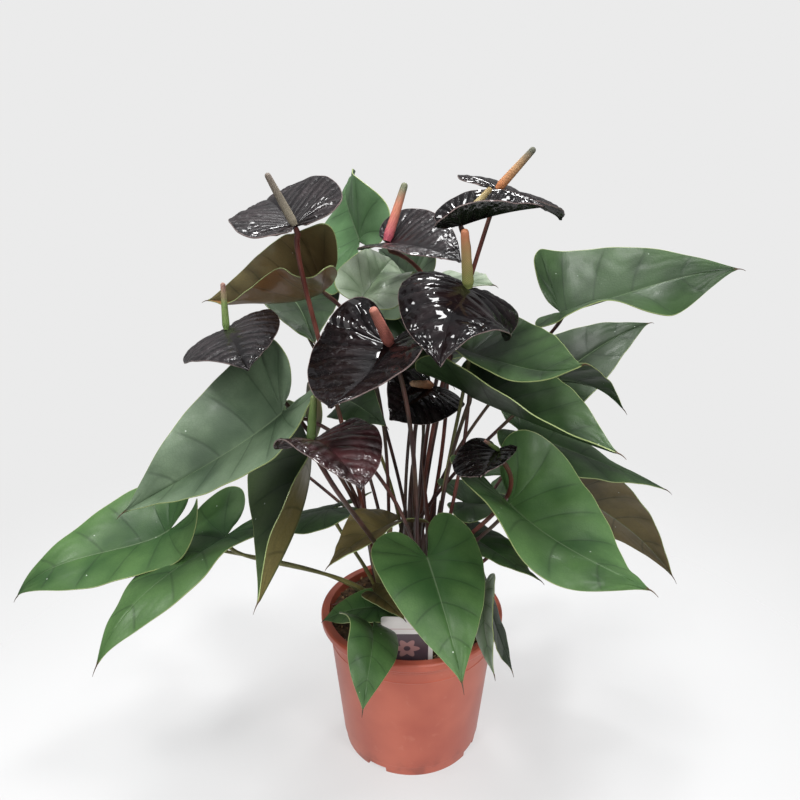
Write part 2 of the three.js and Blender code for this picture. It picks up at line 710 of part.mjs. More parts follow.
const petioles = leaves.map((blade) => ({ blade, radius: PETIOLE_RADIUS, thickness: BLADE_THICKNESS }));
const peduncles = blooms.map((blade) => ({ blade, radius: PEDUNCLE_RADIUS, thickness: SPATHE_THICKNESS }));
for (const crown of Object.keys(CROWNS)) {
  const stalks = [...petioles, ...peduncles].filter(({ blade }) => blade.crown === crown);
  plant.add(meshOf(`stalks_${crown}`, stalkBunch(crown, stalks), COLOURS.stalk, 0.5));
}

export default plant;
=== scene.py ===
"""Looks of a potted flamingo flower: green heart-shaped leaves, near-black glossy blooms, plastic pot.

Every piece stands where its CAD node stands. Sizes and places in the tables are millimetres and
angles are degrees; MM turns them into Blender's metres. +Z is up and the viewer's side is -Y.
"""

import logging
import math
import random
from abc import ABC, abstractmethod
from collections.abc import Iterable, Iterator, Mapping, Sequence
from dataclasses import dataclass
from enum import Enum

import bpy
import numpy as np
from mathutils import Euler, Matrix, Quaternion, Vector, noise

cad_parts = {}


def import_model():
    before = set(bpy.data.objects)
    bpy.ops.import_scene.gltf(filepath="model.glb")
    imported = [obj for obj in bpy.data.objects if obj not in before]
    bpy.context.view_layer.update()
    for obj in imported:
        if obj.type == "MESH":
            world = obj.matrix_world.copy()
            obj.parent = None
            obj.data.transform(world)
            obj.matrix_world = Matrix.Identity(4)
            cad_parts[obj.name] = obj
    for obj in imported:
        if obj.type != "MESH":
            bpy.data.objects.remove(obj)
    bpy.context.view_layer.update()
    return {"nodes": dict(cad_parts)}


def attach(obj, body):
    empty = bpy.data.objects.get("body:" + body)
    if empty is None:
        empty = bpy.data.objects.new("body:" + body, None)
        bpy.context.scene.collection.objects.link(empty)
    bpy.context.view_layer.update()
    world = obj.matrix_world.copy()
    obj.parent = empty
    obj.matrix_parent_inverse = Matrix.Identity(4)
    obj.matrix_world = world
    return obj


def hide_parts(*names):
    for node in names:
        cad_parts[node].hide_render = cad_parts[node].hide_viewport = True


LOG = logging.getLogger("flamingo_flower")
MM = 0.001
BODY = "root"
SEED = 41
FULL_TURN = 2 * math.pi
UP = np.array((0.0, 0.0, 1.0))
ASKEW = (0.31, 0.94, 0.17)  # runs along none of the stalks and spikes

Triple = tuple[float, float, float]
Pair = tuple[float, float]
Colour = tuple[float, float, float, float]
Stop = tuple[float, str | Colour]
Grid = np.ndarray

# Pot and soil, as in the part's source
POT_HEIGHT = 140.0
RIM_RADIUS = 85.0
NECK_RADIUS = 79.0
BASE_RADIUS = 65.0
WALL = 1.8
LIP_HEIGHT = 8.0
RING_DROP = 26.0
FOOT_HEIGHT = 10.0
FOOT_STEP = 0.8
FOOT_COUNT = 4
FOOT_GAP_ANGLE = 17.0
FIRST_GAP_ANGLE = 239.5
SEAT_RADIUS = 40.0
CHANNEL_HEIGHT = 5.0
FLOOR_HEIGHT = 7.0
DRAIN_RADIUS = 4.0
DRAIN_RING_RADIUS = 51.0
DRAIN_COUNT = 8
SOIL_LEVEL = 127.0
SOIL_HEAP = 6.0  # how far the peat rises towards the wall
CLEARANCE = 0.3

# Stalks, blades and label, as in the part's source
CROWN_RADIUS = 12.0
STALK_FOOT = 117.7
PETIOLE_RADIUS = 1.6
PEDUNCLE_RADIUS = 1.9
STALK_SPREAD = 7.0
BLADE_THICKNESS = 0.7
SPATHE_THICKNESS = 0.8
LABEL_FOOT: Triple = (-5.0, -62.0, 101.0)
LABEL_LEAN = 10.0
LABEL_STAKE = 26.0
LABEL_WIDTH = 44.0

LEAF_OUTLINE: tuple[Pair, ...] = (
    (0, 0), (-0.1, 0.035), (-0.25, 0.085), (-0.345, 0.19), (-0.3, 0.305), (-0.13, 0.385),
    (0.1, 0.395), (0.36, 0.325), (0.62, 0.2), (0.83, 0.085), (0.94, 0.025), (1, 0),
)
SPATHE_OUTLINE: tuple[Pair, ...] = (
    (0, 0), (-0.1, 0.05), (-0.23, 0.14), (-0.29, 0.28), (-0.22, 0.42), (-0.04, 0.51),
    (0.2, 0.52), (0.45, 0.455), (0.68, 0.32), (0.85, 0.165), (0.95, 0.05), (1, 0),
)

# Camera, worked out from the ellipses of the pot's rim and base
CAMERA_PLACE: Triple = (-11.0, -622.0, 574.0)
CAMERA_PITCH = 20.0
CAMERA_LENS_MM = 34.92

# Maps and veins of the blades
SHEET_MAP = "sheet"
WELD = 0.02
LEAF_VEINS = 8
SPATHE_VEINS = 10
MARGIN = 0.982  # where the pale edge begins, with the midrib at 0 and the margin at 1

# Patterns in the finishes
NET_CELLS = 330
BERRY_RISE = 15
BERRY_TURNS = 7
STREAKS = 9
FLOW_LINES = 2600

# Colours that several finishes share
# Painted shade in the sunken side veins of the leaves
PAINTED_VEIN_SHADE = "#142313"
MIDRIB_LIGHT = "#66785a"
MARGIN_LIGHT = "#8f9c66"
FLECK_LIGHT = "#cfd8cc"
TIP_BROWN = "#4a3420"
# Painted highlight along the ribs of a bloom
SPATHE_RIB_HIGHLIGHT = "#5a5153"
# Pale edge of a bloom: partly its margin's own colour, partly a painted highlight along the margin
SPATHE_EDGE_HIGHLIGHT = "#7b6b68"
# Painted shade in the gaps between the tiny flowers of a spadix
BERRY_GAP_SHADE = "#3a2a20"
STALK_GREEN = "#5c5c42"
# Darkens the pot in patches towards its foot
POT_FOOT_DARK = "#2a1f19"


class Crown(Enum):
    """The four crowns that the stalks rise from, with their places on the soil."""

    LEFT = (-22.0, 2.0)
    FRONT = (4.0, -24.0)
    RIGHT = (26.0, 4.0)
    BACK = (2.0, 26.0)


class Face(Enum):
    """How the upper side of a leaf looks."""

    # Darker green painted as shade, for leaves that sit in shade behind others
    DEEP = "deep"
    DARK = "dark"
    FLUSHED = "flushed"
    FRESH = "fresh"
    BRIGHT = "bright"
    OLIVE = "olive"
    # Greyer, lighter green painted as a grey-white sheen
    DUSTY = "dusty"
    YOUNG = "young"
    # Whitish green painted as the glare of a glossy face seen at a glancing angle
    PALE = "pale"


class Back(Enum):
    """How the underside of a leaf looks."""

    GREEN = "green"
    BRONZE = "bronze"
    AMBER = "amber"
    GREY = "grey"


class Skin(Enum):
    """How a stalk looks."""

    MAROON = "maroon"
    OLIVE = "olive"
    RED = "red"
    PINK = "pink"


class Tone(Enum):
    """How the upper side of a bloom looks."""

    BLACK = "black"
    # Glossier, with its ground painted lighter as a grey reflection of the pale surroundings
    SMOKY = "smoky"
    RED = "red"


class Berry(Enum):
    """How a spadix is coloured from its foot to its tip."""

    GREY = "grey"
    PINK = "pink"
    FIRE = "fire"
    TAN = "tan"
    OLIVE = "olive"
    SALMON = "salmon"
    GREEN = "green"
    MOSS = "moss"
    PALE = "pale"


@dataclass(frozen=True)
class Blade:
    """A leaf or a spathe: where its midrib runs and how its two halves are bent."""

    base: Triple
    tip: Triple
    crown: Crown
    roll: float = 0.0
    left: Triple = (15, 20, 5)
    right: Triple = (15, 20, 5)
    curl: float = 20.0
    arch: float = 0.05
    skew: float = 0.0
    twist: float = 0.0
    width: Pair = (1, 1)
    lobe: Pair = (1, 1)
    sway: Triple = (0, 0, 0)
    neck: float = 0.2
    skin: Skin = Skin.MAROON


@dataclass(frozen=True)
class Leaf(Blade):
    """A green leaf with the looks of its two sides."""

    face: Face = Face.DARK
    back: Back = Back.GREEN


@dataclass(frozen=True, kw_only=True)
class Bloom(Blade):
    """A near-black spathe with the run and girth of its spadix, and how far that is let down on it."""

    spadix: Triple
    seat: float
    girth: float = 1.0
    berry: Berry = Berry.TAN
    tone: Tone = Tone.BLACK


LEAVES: tuple[Leaf, ...] = (
    Leaf((-101, -68, 362), (-228, -81, 283), Crown.FRONT, roll=30, left=(35, 30, 25), right=(30, 20, 40),
         curl=10, arch=-0.03, skew=-0.7, twist=-5, width=(1, 1.1), lobe=(0.85, 0.5), sway=(25, -45, 35),
         face=Face.DUSTY),
    Leaf((-215, -16, 231), (-347, -41, 179), Crown.LEFT, roll=20, left=(15, 35, 5), right=(15, 25, -10),
         curl=25, arch=0.09, skew=1.7, twist=-15, lobe=(0.9, 1), sway=(-20, 35, -30), face=Face.FRESH,
         skin=Skin.OLIVE),
    Leaf((-161, -34, 235), (-239, -143, 187), Crown.LEFT, left=(30, 40, -15), right=(20, -5, -10),
         curl=25, arch=0.12, skew=0.5, twist=5, face=Face.FRESH, skin=Skin.OLIVE),
    Leaf((-86, -23, 315), (-112, -157, 251), Crown.LEFT, roll=-40, left=(50, 45, 70), right=(-15, 35, 20),
         curl=25, arch=-0.07, skew=-0.4, width=(1, 1.05), lobe=(0.5, 1), face=Face.FLUSHED,
         back=Back.BRONZE),
    Leaf((-74, 10, 238), (-169, 42, 189), Crown.LEFT, roll=-10, left=(5, 5, 5), right=(15, 5, 5), curl=30,
         arch=0.04, skew=0.3, lobe=(1, 0.8), skin=Skin.OLIVE),
    Leaf((-73, -4, 442), (-185, 66, 419), Crown.LEFT, roll=35, left=(25, 55, 30), right=(80, 65, 55),
         curl=-35, arch=-0.06, skew=-0.6, twist=5, width=(0.9, 1.1), sway=(10, 5, 0), face=Face.YOUNG,
         back=Back.AMBER),
    Leaf((-48, 97, 468), (-64, 226, 512), Crown.LEFT, roll=60, left=(15, 30, 0), right=(5, 35, 5), curl=5,
         arch=0.06, skew=0.5, sway=(-45, -25, 35), face=Face.BRIGHT),
    Leaf((-41, 3, 437), (-19, 84, 452), Crown.BACK, roll=-30, left=(30, 50, 5), right=(35, 55, -10),
         curl=5, arch=0.1, skew=0.6, twist=5, width=(0.95, 1.2), sway=(10, 0, 0), face=Face.PALE),
    Leaf((-112, 100, 412), (-80, -16, 402), Crown.LEFT, roll=5, left=(15, 20, 10), right=(15, 25, 0),
         curl=10, arch=0.04, skew=-0.2, twist=5, width=(0.9, 0.9), sway=(20, 0, 15), face=Face.DEEP),
    Leaf((126, 24, 418), (270, 20, 456), Crown.BACK, roll=-15, left=(75, 30, 30), right=(18, 38, -45),
         curl=10, arch=0.03, skew=1.2, twist=5, width=(1.05, 1.05), lobe=(0.25, 0.5), sway=(-15, 25, 20),
         back=Back.BRONZE),
    Leaf((136, 115, 321), (245, 153, 376), Crown.RIGHT, roll=-20, left=(15, 15, 15), right=(15, 20, 10),
         arch=0.07, skew=0.3, face=Face.DEEP),
    Leaf((42, -38, 400), (106, -152, 427), Crown.RIGHT, roll=-5, left=(25, 5, 15), right=(-10, 30, -5),
         curl=-10, arch=-0.05, skew=0.9, twist=10, width=(1.1, 0.95), sway=(-15, -5, 0), skin=Skin.OLIVE),
    Leaf((110, 16, 363), (196, 50, 320), Crown.LEFT, roll=30, left=(20, 10, 30), right=(20, 25, 15),
         curl=25, arch=0.1, skew=0.4, twist=5, width=(0.85, 0.85), sway=(-15, 10, 15), back=Back.BRONZE),
    Leaf((44, -52, 370), (127, -174, 375), Crown.RIGHT, roll=10, left=(35, 25, 35), right=(15, 40, 25),
         curl=5, arch=-0.01, width=(1.1, 1), lobe=(0.8, 0.4), sway=(-10, 0, 0), back=Back.BRONZE),
    Leaf((96, 18, 311), (231, 13, 256), Crown.RIGHT, roll=-5, left=(15, 15, -5), right=(15, 10, 5),
         curl=25, arch=0.01, twist=-5, lobe=(0.4, 0.5), sway=(0, 50, 0)),
    Leaf((75, -78, 289), (150, -196, 289), Crown.RIGHT, roll=5, left=(55, 20, -10), right=(35, 35, -55),
         curl=10, arch=-0.04, skew=-0.5, width=(1.15, 1), lobe=(0.75, 0.8), sway=(-10, 0, 0),
         face=Face.FRESH),
    Leaf((151, 46, 239), (252, 23, 158), Crown.RIGHT, roll=60, left=(15, 15, 5), right=(15, 15, 10),
         curl=25, arch=0.08, skew=0.3, twist=5, face=Face.OLIVE, back=Back.BRONZE, skin=Skin.RED),
    Leaf((10, -103, 256), (31, -196, 215), Crown.FRONT, roll=5, left=(25, 10, 10), right=(5, 15, -10),
         curl=25, arch=0.04, skew=0.2, width=(1.05, 1.05), lobe=(1.15, 0.85), face=Face.FRESH),
    Leaf((48, 5, 247), (128, 47, 201), Crown.RIGHT, roll=-5, left=(15, 20, 5), right=(-5, 30, 5),
         arch=0.08, skew=0.7, width=(0.9, 0.9), lobe=(0.6, 0.9), sway=(15, 5, 0)),
    Leaf((54, -2, 217), (102, -85, 224), Crown.RIGHT, roll=10, left=(15, 15, -10), right=(15, 15, 5),
         curl=30, arch=0, twist=-5, width=(0.8, 0.8), face=Face.FRESH, skin=Skin.OLIVE),
    Leaf((-19, -32, 245), (-66, -107, 251), Crown.FRONT, roll=-5, left=(15, 35, 10), right=(20, 30, -10),
         curl=15, width=(0.85, 0.85), face=Face.OLIVE, back=Back.BRONZE, skin=Skin.PINK),
    Leaf((-33, -107, 194), (-38, -172, 171), Crown.FRONT, roll=25, left=(5, 0, 5), right=(0, 40, -15),
         curl=25, arch=0.09, skew=-0.6, twist=10, width=(0.9, 1), sway=(-10, 5, 0), face=Face.FRESH,
         skin=Skin.OLIVE),
    Leaf((-29, -52, 176), (-80, -33, 148), Crown.FRONT, roll=20, left=(15, 25, 0), right=(15, 10, 20),
         curl=15, arch=0.08, twist=-10, width=(0.85, 0.85), face=Face.FRESH),
    Leaf((-33, -57, 194), (-7, -86, 187), Crown.FRONT, roll=-5, width=(0.8, 0.8), lobe=(0.6, 0.4),
         sway=(15, -10, 10), face=Face.OLIVE, back=Back.BRONZE, skin=Skin.RED),
    Leaf((56, -92, 220), (59, -150, 185), Crown.FRONT, roll=-60, right=(15, 15, 5), arch=0.06,
         width=(0.7, 0.7), lobe=(0.4, 0.4), face=Face.PALE, back=Back.GREY),
    Leaf((61, -47, 188), (91, -44, 101), Crown.FRONT, roll=-20, left=(15, 10, 15), right=(15, 25, -10),
         curl=25, arch=0, twist=5, width=(0.6, 0.65), face=Face.DEEP, skin=Skin.PINK),
    Leaf((-25, 101, 410), (32, -2, 364), Crown.BACK, roll=-55, arch=0.04, twist=5, sway=(10, 0, 0)),
    Leaf((16, 143, 414), (71, 46, 437), Crown.BACK, roll=-15, left=(20, 5, 5), right=(30, 40, 10),
         arch=0.03, sway=(-25, -15, 20), face=Face.PALE, back=Back.GREY),
    Leaf((1, 65, 438), (-32, 172, 448), Crown.FRONT, roll=50, right=(35, 20, 5), curl=15, arch=0.02,
         skew=0.2, sway=(35, -55, 45), face=Face.DUSTY, skin=Skin.RED),
    Leaf((-56, 18, 340), (-22, -44, 341), Crown.BACK, roll=-35, curl=25, arch=0.07, skew=-0.2,
         width=(0.85, 0.85), lobe=(0.3, 0.3), face=Face.DEEP, skin=Skin.OLIVE),
    Leaf((-150, 110, 285), (-225, 190, 245), Crown.BACK, arch=0.06),
    Leaf((15, 120, 350), (45, 235, 300), Crown.BACK, roll=5, arch=0.06),
    Leaf((98, 130, 215), (175, 205, 180), Crown.BACK, roll=-5, arch=0.06),
)

BLOOMS: tuple[Bloom, ...] = (
    Bloom((-83, -81, 504), (-114, -9, 513), Crown.LEFT, roll=20, left=(20, 25, 5), right=(20, 25, 10),
          curl=10, arch=0.07, skew=0.7, twist=-5, sway=(-15, 5, 0), neck=0.06, spadix=(-16, -9, 35),
          seat=0.2, berry=Berry.GREY, skin=Skin.RED, girth=0.85, tone=Tone.SMOKY),
    Bloom((-21, 12, 478), (35, -39, 472), Crown.BACK, roll=-20, left=(30, 20, 10), right=(15, 25, 15),
          curl=5, arch=0.06, twist=-5, width=(1, 0.85), lobe=(1, 0.4), sway=(45, 25, 35),
          spadix=(15, 12, 45), seat=0.7, berry=Berry.PINK, skin=Skin.RED, girth=1.15, tone=Tone.SMOKY),
    Bloom((65, 3, 521), (125, 43, 493), Crown.BACK, roll=-5, left=(20, 20, 10), right=(5, 10, 5), curl=25,
          arch=0.06, sway=(-10, 0, 0), spadix=(26, -8, 31), seat=1.3, berry=Berry.FIRE, skin=Skin.RED),
    Bloom((39, -59, 456), (15, -142, 422), Crown.BACK, roll=10, left=(10, -20, 20), right=(25, 25, 10),
          curl=55, arch=0.13, twist=20, width=(1.05, 1), lobe=(1.05, 1), sway=(0, 50, 35),
          spadix=(-5, -12, 44), seat=1, berry=Berry.OLIVE, girth=1.2),
    Bloom((-18, -73, 417), (-56, -161, 401), Crown.FRONT, roll=-10, left=(15, 20, 5), right=(45, 15, 5),
          curl=0, arch=-0.03, skew=-0.2, twist=5, width=(1, 1.05), lobe=(1, 0.9), sway=(5, -10, -5),
          spadix=(-12, -18, 31), seat=0.4, berry=Berry.SALMON, girth=1.35),
    Bloom((14, -8, 362), (-19, -63, 354), Crown.FRONT, roll=30, left=(10, 20, -5), right=(15, 20, 10),
          curl=15, arch=0.06, twist=-5, spadix=(-17, -34, 13), seat=1.3, berry=Berry.TAN),
    Bloom((-149, -23, 415), (-119, -97, 405), Crown.LEFT, roll=-20, left=(20, 10, 5), right=(10, 5, 20),
          curl=35, arch=0.07, skew=-0.2, twist=-5, sway=(10, 5, 5), spadix=(-1, 5, 37), seat=0.8,
          berry=Berry.GREEN, girth=0.85, tone=Tone.SMOKY),
    Bloom((-72, -132, 365), (-34, -198, 362), Crown.LEFT, roll=-5, left=(25, 10, 0), right=(0, 25, 10),
          curl=15, arch=0.1, skew=-0.5, twist=-15, width=(1.05, 0.7), lobe=(1, 0.3), sway=(15, -10, -10),
          spadix=(3, 4, 32), seat=0.9, berry=Berry.MOSS, girth=1.1, tone=Tone.RED),
    Bloom((64, -81, 336), (44, -139, 342), Crown.LEFT, roll=-15, left=(10, 15, 10), right=(25, 15, 0),
          curl=30, arch=-0.01, twist=5, width=(0.45, 1.05), lobe=(0.5, 1.05), sway=(30, 0, 0),
          spadix=(-12, -10, 12), seat=0.7, berry=Berry.GREEN, skin=Skin.RED),
    Bloom((33, -47, 500), (93, -51, 514), Crown.BACK, roll=-20, left=(25, 25, 20), right=(55, 60, 45),
          arch=0.04, sway=(0, 40, 30), spadix=(23, 5, 24), seat=0.2, berry=Berry.PALE),
)


def srgb(code: str) -> Colour:
    """Turn a colour written as #rrggbb into Blender's linear values."""
    parts = [int(code[i:i + 2], 16) / 255 for i in (1, 3, 5)]
    linear = [c / 12.92 if c <= 0.04045 else ((c + 0.055) / 1.055) ** 2.4 for c in parts]
    return (*linear, 1.0)


def plain(value: object) -> object:
    """Turn a colour's code into linear values, and leave anything else as it is."""
    return srgb(value) if isinstance(value, str) else value


@dataclass(frozen=True)
class Wire:
    """A node's output that Python expressions can be written with."""

    shader: "Shader"
    socket: bpy.types.NodeSocket

    def math(self, operation: str, *others: "Wire | float") -> "Wire":
        """Add one Math node over this value and the others."""
        inputs = dict(enumerate((self, *others)))
        return self.shader.node("ShaderNodeMath", {"operation": operation}, inputs)

    def __add__(self, other: "Wire | float") -> "Wire":
        """Add a value."""
        return self.math("ADD", other)

    def __sub__(self, other: "Wire | float") -> "Wire":
        """Subtract a value."""
        return self.math("SUBTRACT", other)

    def __rsub__(self, other: float) -> "Wire":
        """Subtract from a number."""
        return self.math("MULTIPLY_ADD", -1.0, other)

    def __mul__(self, other: "Wire | float") -> "Wire":
        """Multiply by a value."""
        return self.math("MULTIPLY", other)

    __radd__ = __add__
    __rmul__ = __mul__

    def bar(self) -> "Wire":
        """The size of the value without its sign."""
        return self.math("ABSOLUTE")

    def sine(self) -> "Wire":
        """The sine of the value in radians."""
        return self.math("SINE")

    def root(self) -> "Wire":
        """The square root of the value."""
        return self.math("SQRT")

    def most(self, other: "Wire | float") -> "Wire":
        """The larger of two values."""
        return self.math("MAXIMUM", other)

    def stripe(self) -> "Wire":
        """The distance to the nearest whole number, from 0 on it to 0.5 midway."""
        return ((self + 0.5).math("FRACT") - 0.5).bar()

    def step(self, low: float, high: float) -> "Wire":
        """A smooth step from 0 at low to 1 at high."""
        settings = {"interpolation_type": "SMOOTHSTEP"}
        return self.shader.node("ShaderNodeMapRange", settings, {0: self, 1: low, 2: high})

    def veins(self, count: int, low: float, high: float) -> "Wire":
        """1 along each of `count` side veins, falling to 0 from low to high beside it."""
        return 1 - (self * count).stripe().step(low, high)


class Shader:
    """The nodes of one material, or of the world."""

    # The sockets of a Mix node that stand for the factor, two colours and their blend
    MIX_INPUTS = (0, 6, 7)
    MIX_OUTPUT = 2

    def __init__(self, owner: "bpy.types.Material | bpy.types.World") -> None:
        """Start with no nodes."""
        owner.use_nodes = True
        self.owner = owner
        self.tree = owner.node_tree
        self.tree.nodes.clear()

    def node(
        self,
        kind: str,
        settings: dict[str, object] | None = None,
        inputs: dict[int | str, object] | None = None,
        output: int | str = 0,
    ) -> Wire:
        """Add a node.

        Args:
            kind: Blender's name of the node's type.
            settings: the node's own settings, or the stops of its colour ramp.
            inputs: a number, colour, colour code or wire for each socket.
            output: the socket that is handed on.

        Returns:
            The wire of that output.
        """
        made = self.tree.nodes.new(kind)
        for key, value in (settings or {}).items():
            if key == "stops":
                self._set_stops(made.color_ramp.elements, value)
            else:
                setattr(made, key, value)
        for key, value in (inputs or {}).items():
            if isinstance(value, Wire):
                self.tree.links.new(value.socket, made.inputs[key])
            else:
                made.inputs[key].default_value = plain(value)
        return Wire(self, made.outputs[output])

    @staticmethod
    def _set_stops(elements: bpy.types.ColorRampElements, stops: Sequence[Stop]) -> None:
        """Give a colour ramp its stops."""
        while len(elements) < len(stops):
            elements.new(0.5)
        for element, (place, colour) in zip(elements, stops, strict=True):
            element.position = place
            element.color = plain(colour)

    def place(self) -> Wire:
        """The point on the piece in metres."""
        return self.node("ShaderNodeTexCoord", output="Object")

    def axis(self, vector: Wire, name: str) -> Wire:
        """One component, X, Y or Z, of a vector."""
        return self.node("ShaderNodeSeparateXYZ", inputs={0: vector}, output=name)

    def sheet(self) -> tuple[Wire, Wire]:
        """The two coordinates of the piece's own map."""
        lines = self.node("ShaderNodeUVMap", {"uv_map": SHEET_MAP})
        return self.axis(lines, "X"), self.axis(lines, "Y")

    def blade(self) -> tuple[Wire, Wire]:
        """The way along a blade's margin, and the way out from its midrib, from -1 to 1."""
        u, v = self.sheet()
        return u, v * 2 - 1

    def noise(self, scale: float, detail: float) -> Wire:
        """Soft noise with about `scale` waves to the metre."""
        inputs = {"Vector": self.place(), "Scale": scale, "Detail": detail}
        return self.node("ShaderNodeTexNoise", inputs=inputs)

    def cells(self, scale: float, feature: str = "F1") -> Wire:
        """Distances in a pattern of about `scale` cells to the metre."""
        inputs = {"Vector": self.place(), "Scale": scale}
        return self.node("ShaderNodeTexVoronoi", {"feature": feature}, inputs, "Distance")

    def mix(self, factor: Wire | float, first: Wire | str, second: Wire | str) -> Wire:
        """Blend two colours."""
        inputs = dict(zip(self.MIX_INPUTS, (factor, first, second)))
        return self.node("ShaderNodeMix", {"data_type": "RGBA"}, inputs, self.MIX_OUTPUT)

    def clouded(
        self, scale: float, detail: float, first: str, second: str, low: float = 0.35, high: float = 0.7
    ) -> Wire:
        """One colour with clouds of a second, where noise runs from low to high."""
        return self.mix(self.noise(scale, detail).step(low, high), first, second)

    def ramp(self, factor: Wire, *stops: Stop) -> Wire:
        """A colour for each value of a wire."""
        return self.node("ShaderNodeValToRGB", {"stops": stops}, {0: factor})

    def bump(self, height: Wire, strength: float, distance: float) -> Wire:
        """Relief for the Normal socket, with its height in millimetres."""
        inputs = {"Height": height, "Strength": strength, "Distance": distance * MM}
        return self.node("ShaderNodeBump", inputs=inputs)

    def finish(self, **sockets: Wire | str | float) -> bpy.types.Material:
        """Close the material with its shader; a socket's name has _ for each space."""
        inputs = {name.replace("_", " "): value for name, value in sockets.items()}
        self.close("ShaderNodeOutputMaterial", self.node("ShaderNodeBsdfPrincipled", inputs=inputs))
        return self.owner

    def close(self, kind: str, surface: Wire) -> None:
        """Add the output node and lead the shader to it."""
        out = self.tree.nodes.new(kind)
        self.tree.links.new(surface.socket, out.inputs["Surface"])


@dataclass(frozen=True)
class Finish(ABC):
    """The look of one kind of surface."""

    name: str

    @abstractmethod
    def sockets(self, s: Shader) -> dict[str, "Wire | str | float"]:
        """Lay out the colours and the relief, and give what each socket of the shader takes."""

    def material(self) -> bpy.types.Material:
        """Build the material."""
        s = Shader(bpy.data.materials.new(self.name))
        return s.finish(**self.sockets(s))


@dataclass(frozen=True)
class LeafFace(Finish):
    """The upper side of a green leaf: satin, with sunken side veins in painted shade, painted highlights on
    the cushions between them and a pale midrib.
    """

    deep: str
    fresh: str
    glow: str
    roughness: float
    coat: float
    flush: str = ""

    def sockets(self, s: Shader) -> dict[str, "Wire | str | float"]:
        """Lay out the leaf, with its left half flushed if it has a colour for that."""
        u, across = s.blade()
        k = across.bar()
        cloud = s.noise(22, 3).step(0.35, 0.68)
        fine = s.noise(260, 4)
        vein = u.veins(LEAF_VEINS, 0.0, 0.06)
        near_vein = u.veins(LEAF_VEINS, 0.03, 0.35)
        net = 1 - s.cells(NET_CELLS, "DISTANCE_TO_EDGE").step(0.0, 0.16)
        colour = s.mix(cloud * 0.75, self.deep, self.fresh)
        # Painted highlight: the cushions between the side veins lighter, with painted shade beside the
        # veins
        colour = s.mix((1 - near_vein) * k.step(0.1, 0.7) * 0.24, colour, self.glow)
        colour = s.mix(k.step(0.45, 1.0) * 0.3, colour, self.glow)
        if self.flush:
            colour = s.mix(across.step(-0.03, 0.1) * 0.85, colour, self.flush)
        colour = s.mix(net * 0.16 + (fine - 0.5) * 0.3, colour, self.deep)
        # Painted shade: the sunken side veins darkened, fading out towards the margin
        colour = s.mix(vein * 0.35 * (1 - k.step(0.75, 1.0)), colour, PAINTED_VEIN_SHADE)
        colour = s.mix((1 - k.step(0.004, 0.018)) * 0.7, colour, MIDRIB_LIGHT)
        fleck = (1 - s.cells(95).step(0.03, 0.075)) * s.noise(31, 1).step(0.55, 0.62)
        colour = s.mix(fleck * 0.7, colour, FLECK_LIGHT)
        colour = s.mix(k.step(MARGIN, 0.996), colour, MARGIN_LIGHT)
        colour = s.mix(u.step(0.985, 0.998), colour, TIP_BROWN)
        relief = vein * -0.5 + net * -0.15 + fine * 0.2 + s.noise(900, 2) * 0.1
        return {
            "Base_Color": colour,
            "Roughness": fine * 0.16 + (self.roughness - 0.08) + vein * 0.08,
            "Normal": s.bump(relief, 0.55, 0.35),
            "Coat_Weight": self.coat,
            "Coat_Roughness": 0.2,
            "Specular_IOR_Level": 0.26,
        }


@dataclass(frozen=True)
class LeafBack(Finish):
    """The underside of a leaf: duller, with raised veins."""

    ground: str
    light: str
    vein: str
    roughness: float

    def sockets(self, s: Shader) -> dict[str, "Wire | str | float"]:
        """Lay out the underside."""
        u, across = s.blade()
        k = across.bar()
        fine = s.noise(240, 4)
        vein = u.veins(LEAF_VEINS, 0.02, 0.14)
        net = 1 - s.cells(NET_CELLS, "DISTANCE_TO_EDGE").step(0.0, 0.14)
        midrib = 1 - k.step(0.015, 0.06)
        colour = s.clouded(26, 3, self.ground, self.light)
        colour = s.mix((net * 0.25).most(vein * 0.6).most(midrib), colour, self.vein)
        return {
            "Base_Color": s.mix(k.step(MARGIN, 0.996), colour, MARGIN_LIGHT),
            "Roughness": fine * 0.2 + (self.roughness - 0.1),
            "Normal": s.bump(vein * 0.8 + net * 0.3 + midrib + fine * 0.4, 0.5, 0.4),
        }


@dataclass(frozen=True)
class Edge(Finish):
    """The thin pale line round a blade."""

    colour: str

    def sockets(self, s: Shader) -> dict[str, "Wire | str | float"]:
        """Lay out the edge."""
        worn = s.clouded(60, 2, self.colour, TIP_BROWN)
        return {"Base_Color": s.mix(0.75, worn, self.colour), "Roughness": 0.4}


@dataclass(frozen=True)
class SpatheFace(Finish):
    """The upper side of a bloom: near-black, lacquered and puckered, with pale ribs painted as highlights.
    """

    ground: str
    flush: str
    sheen: float
    coat: float
    # How strongly the ribs are painted pale as highlights
    ribs: float

    def sockets(self, s: Shader) -> dict[str, "Wire | str | float"]:
        """Lay out the upper side."""
        u, across = s.blade()
        k = across.bar()
        fine = s.noise(420, 3)
        vein = u.veins(SPATHE_VEINS, 0.02, 0.14)
        colour = s.clouded(38, 3, self.ground, self.flush, 0.38)
        colour = s.mix(vein * 0.5, colour, self.ground)
        # Pale margin, partly a painted highlight along it
        colour = s.mix(k.step(MARGIN, 0.997), colour, SPATHE_EDGE_HIGHLIGHT)
        rib = (u * (2 * SPATHE_VEINS)).stripe().step(0.05, 0.45) * k.step(0.02, 0.2)
        # Painted highlight: pale lines along the ribs
        colour = s.mix(rib * k.step(0.1, 0.5) * (1.2 - k) * self.ribs, colour, SPATHE_RIB_HIGHLIGHT)
        pucker = s.noise(210, 1) * k.step(0.1, 0.5)
        return {
            "Base_Color": colour,
            "Roughness": fine * 0.12 + 0.36,
            "Normal": s.bump(pucker * 0.75 + rib * 0.45 + fine * 0.07, 0.95, 1.9),
            "Coat_Weight": self.coat,
            "Coat_Roughness": 0.045,
            "Specular_IOR_Level": self.sheen,
        }


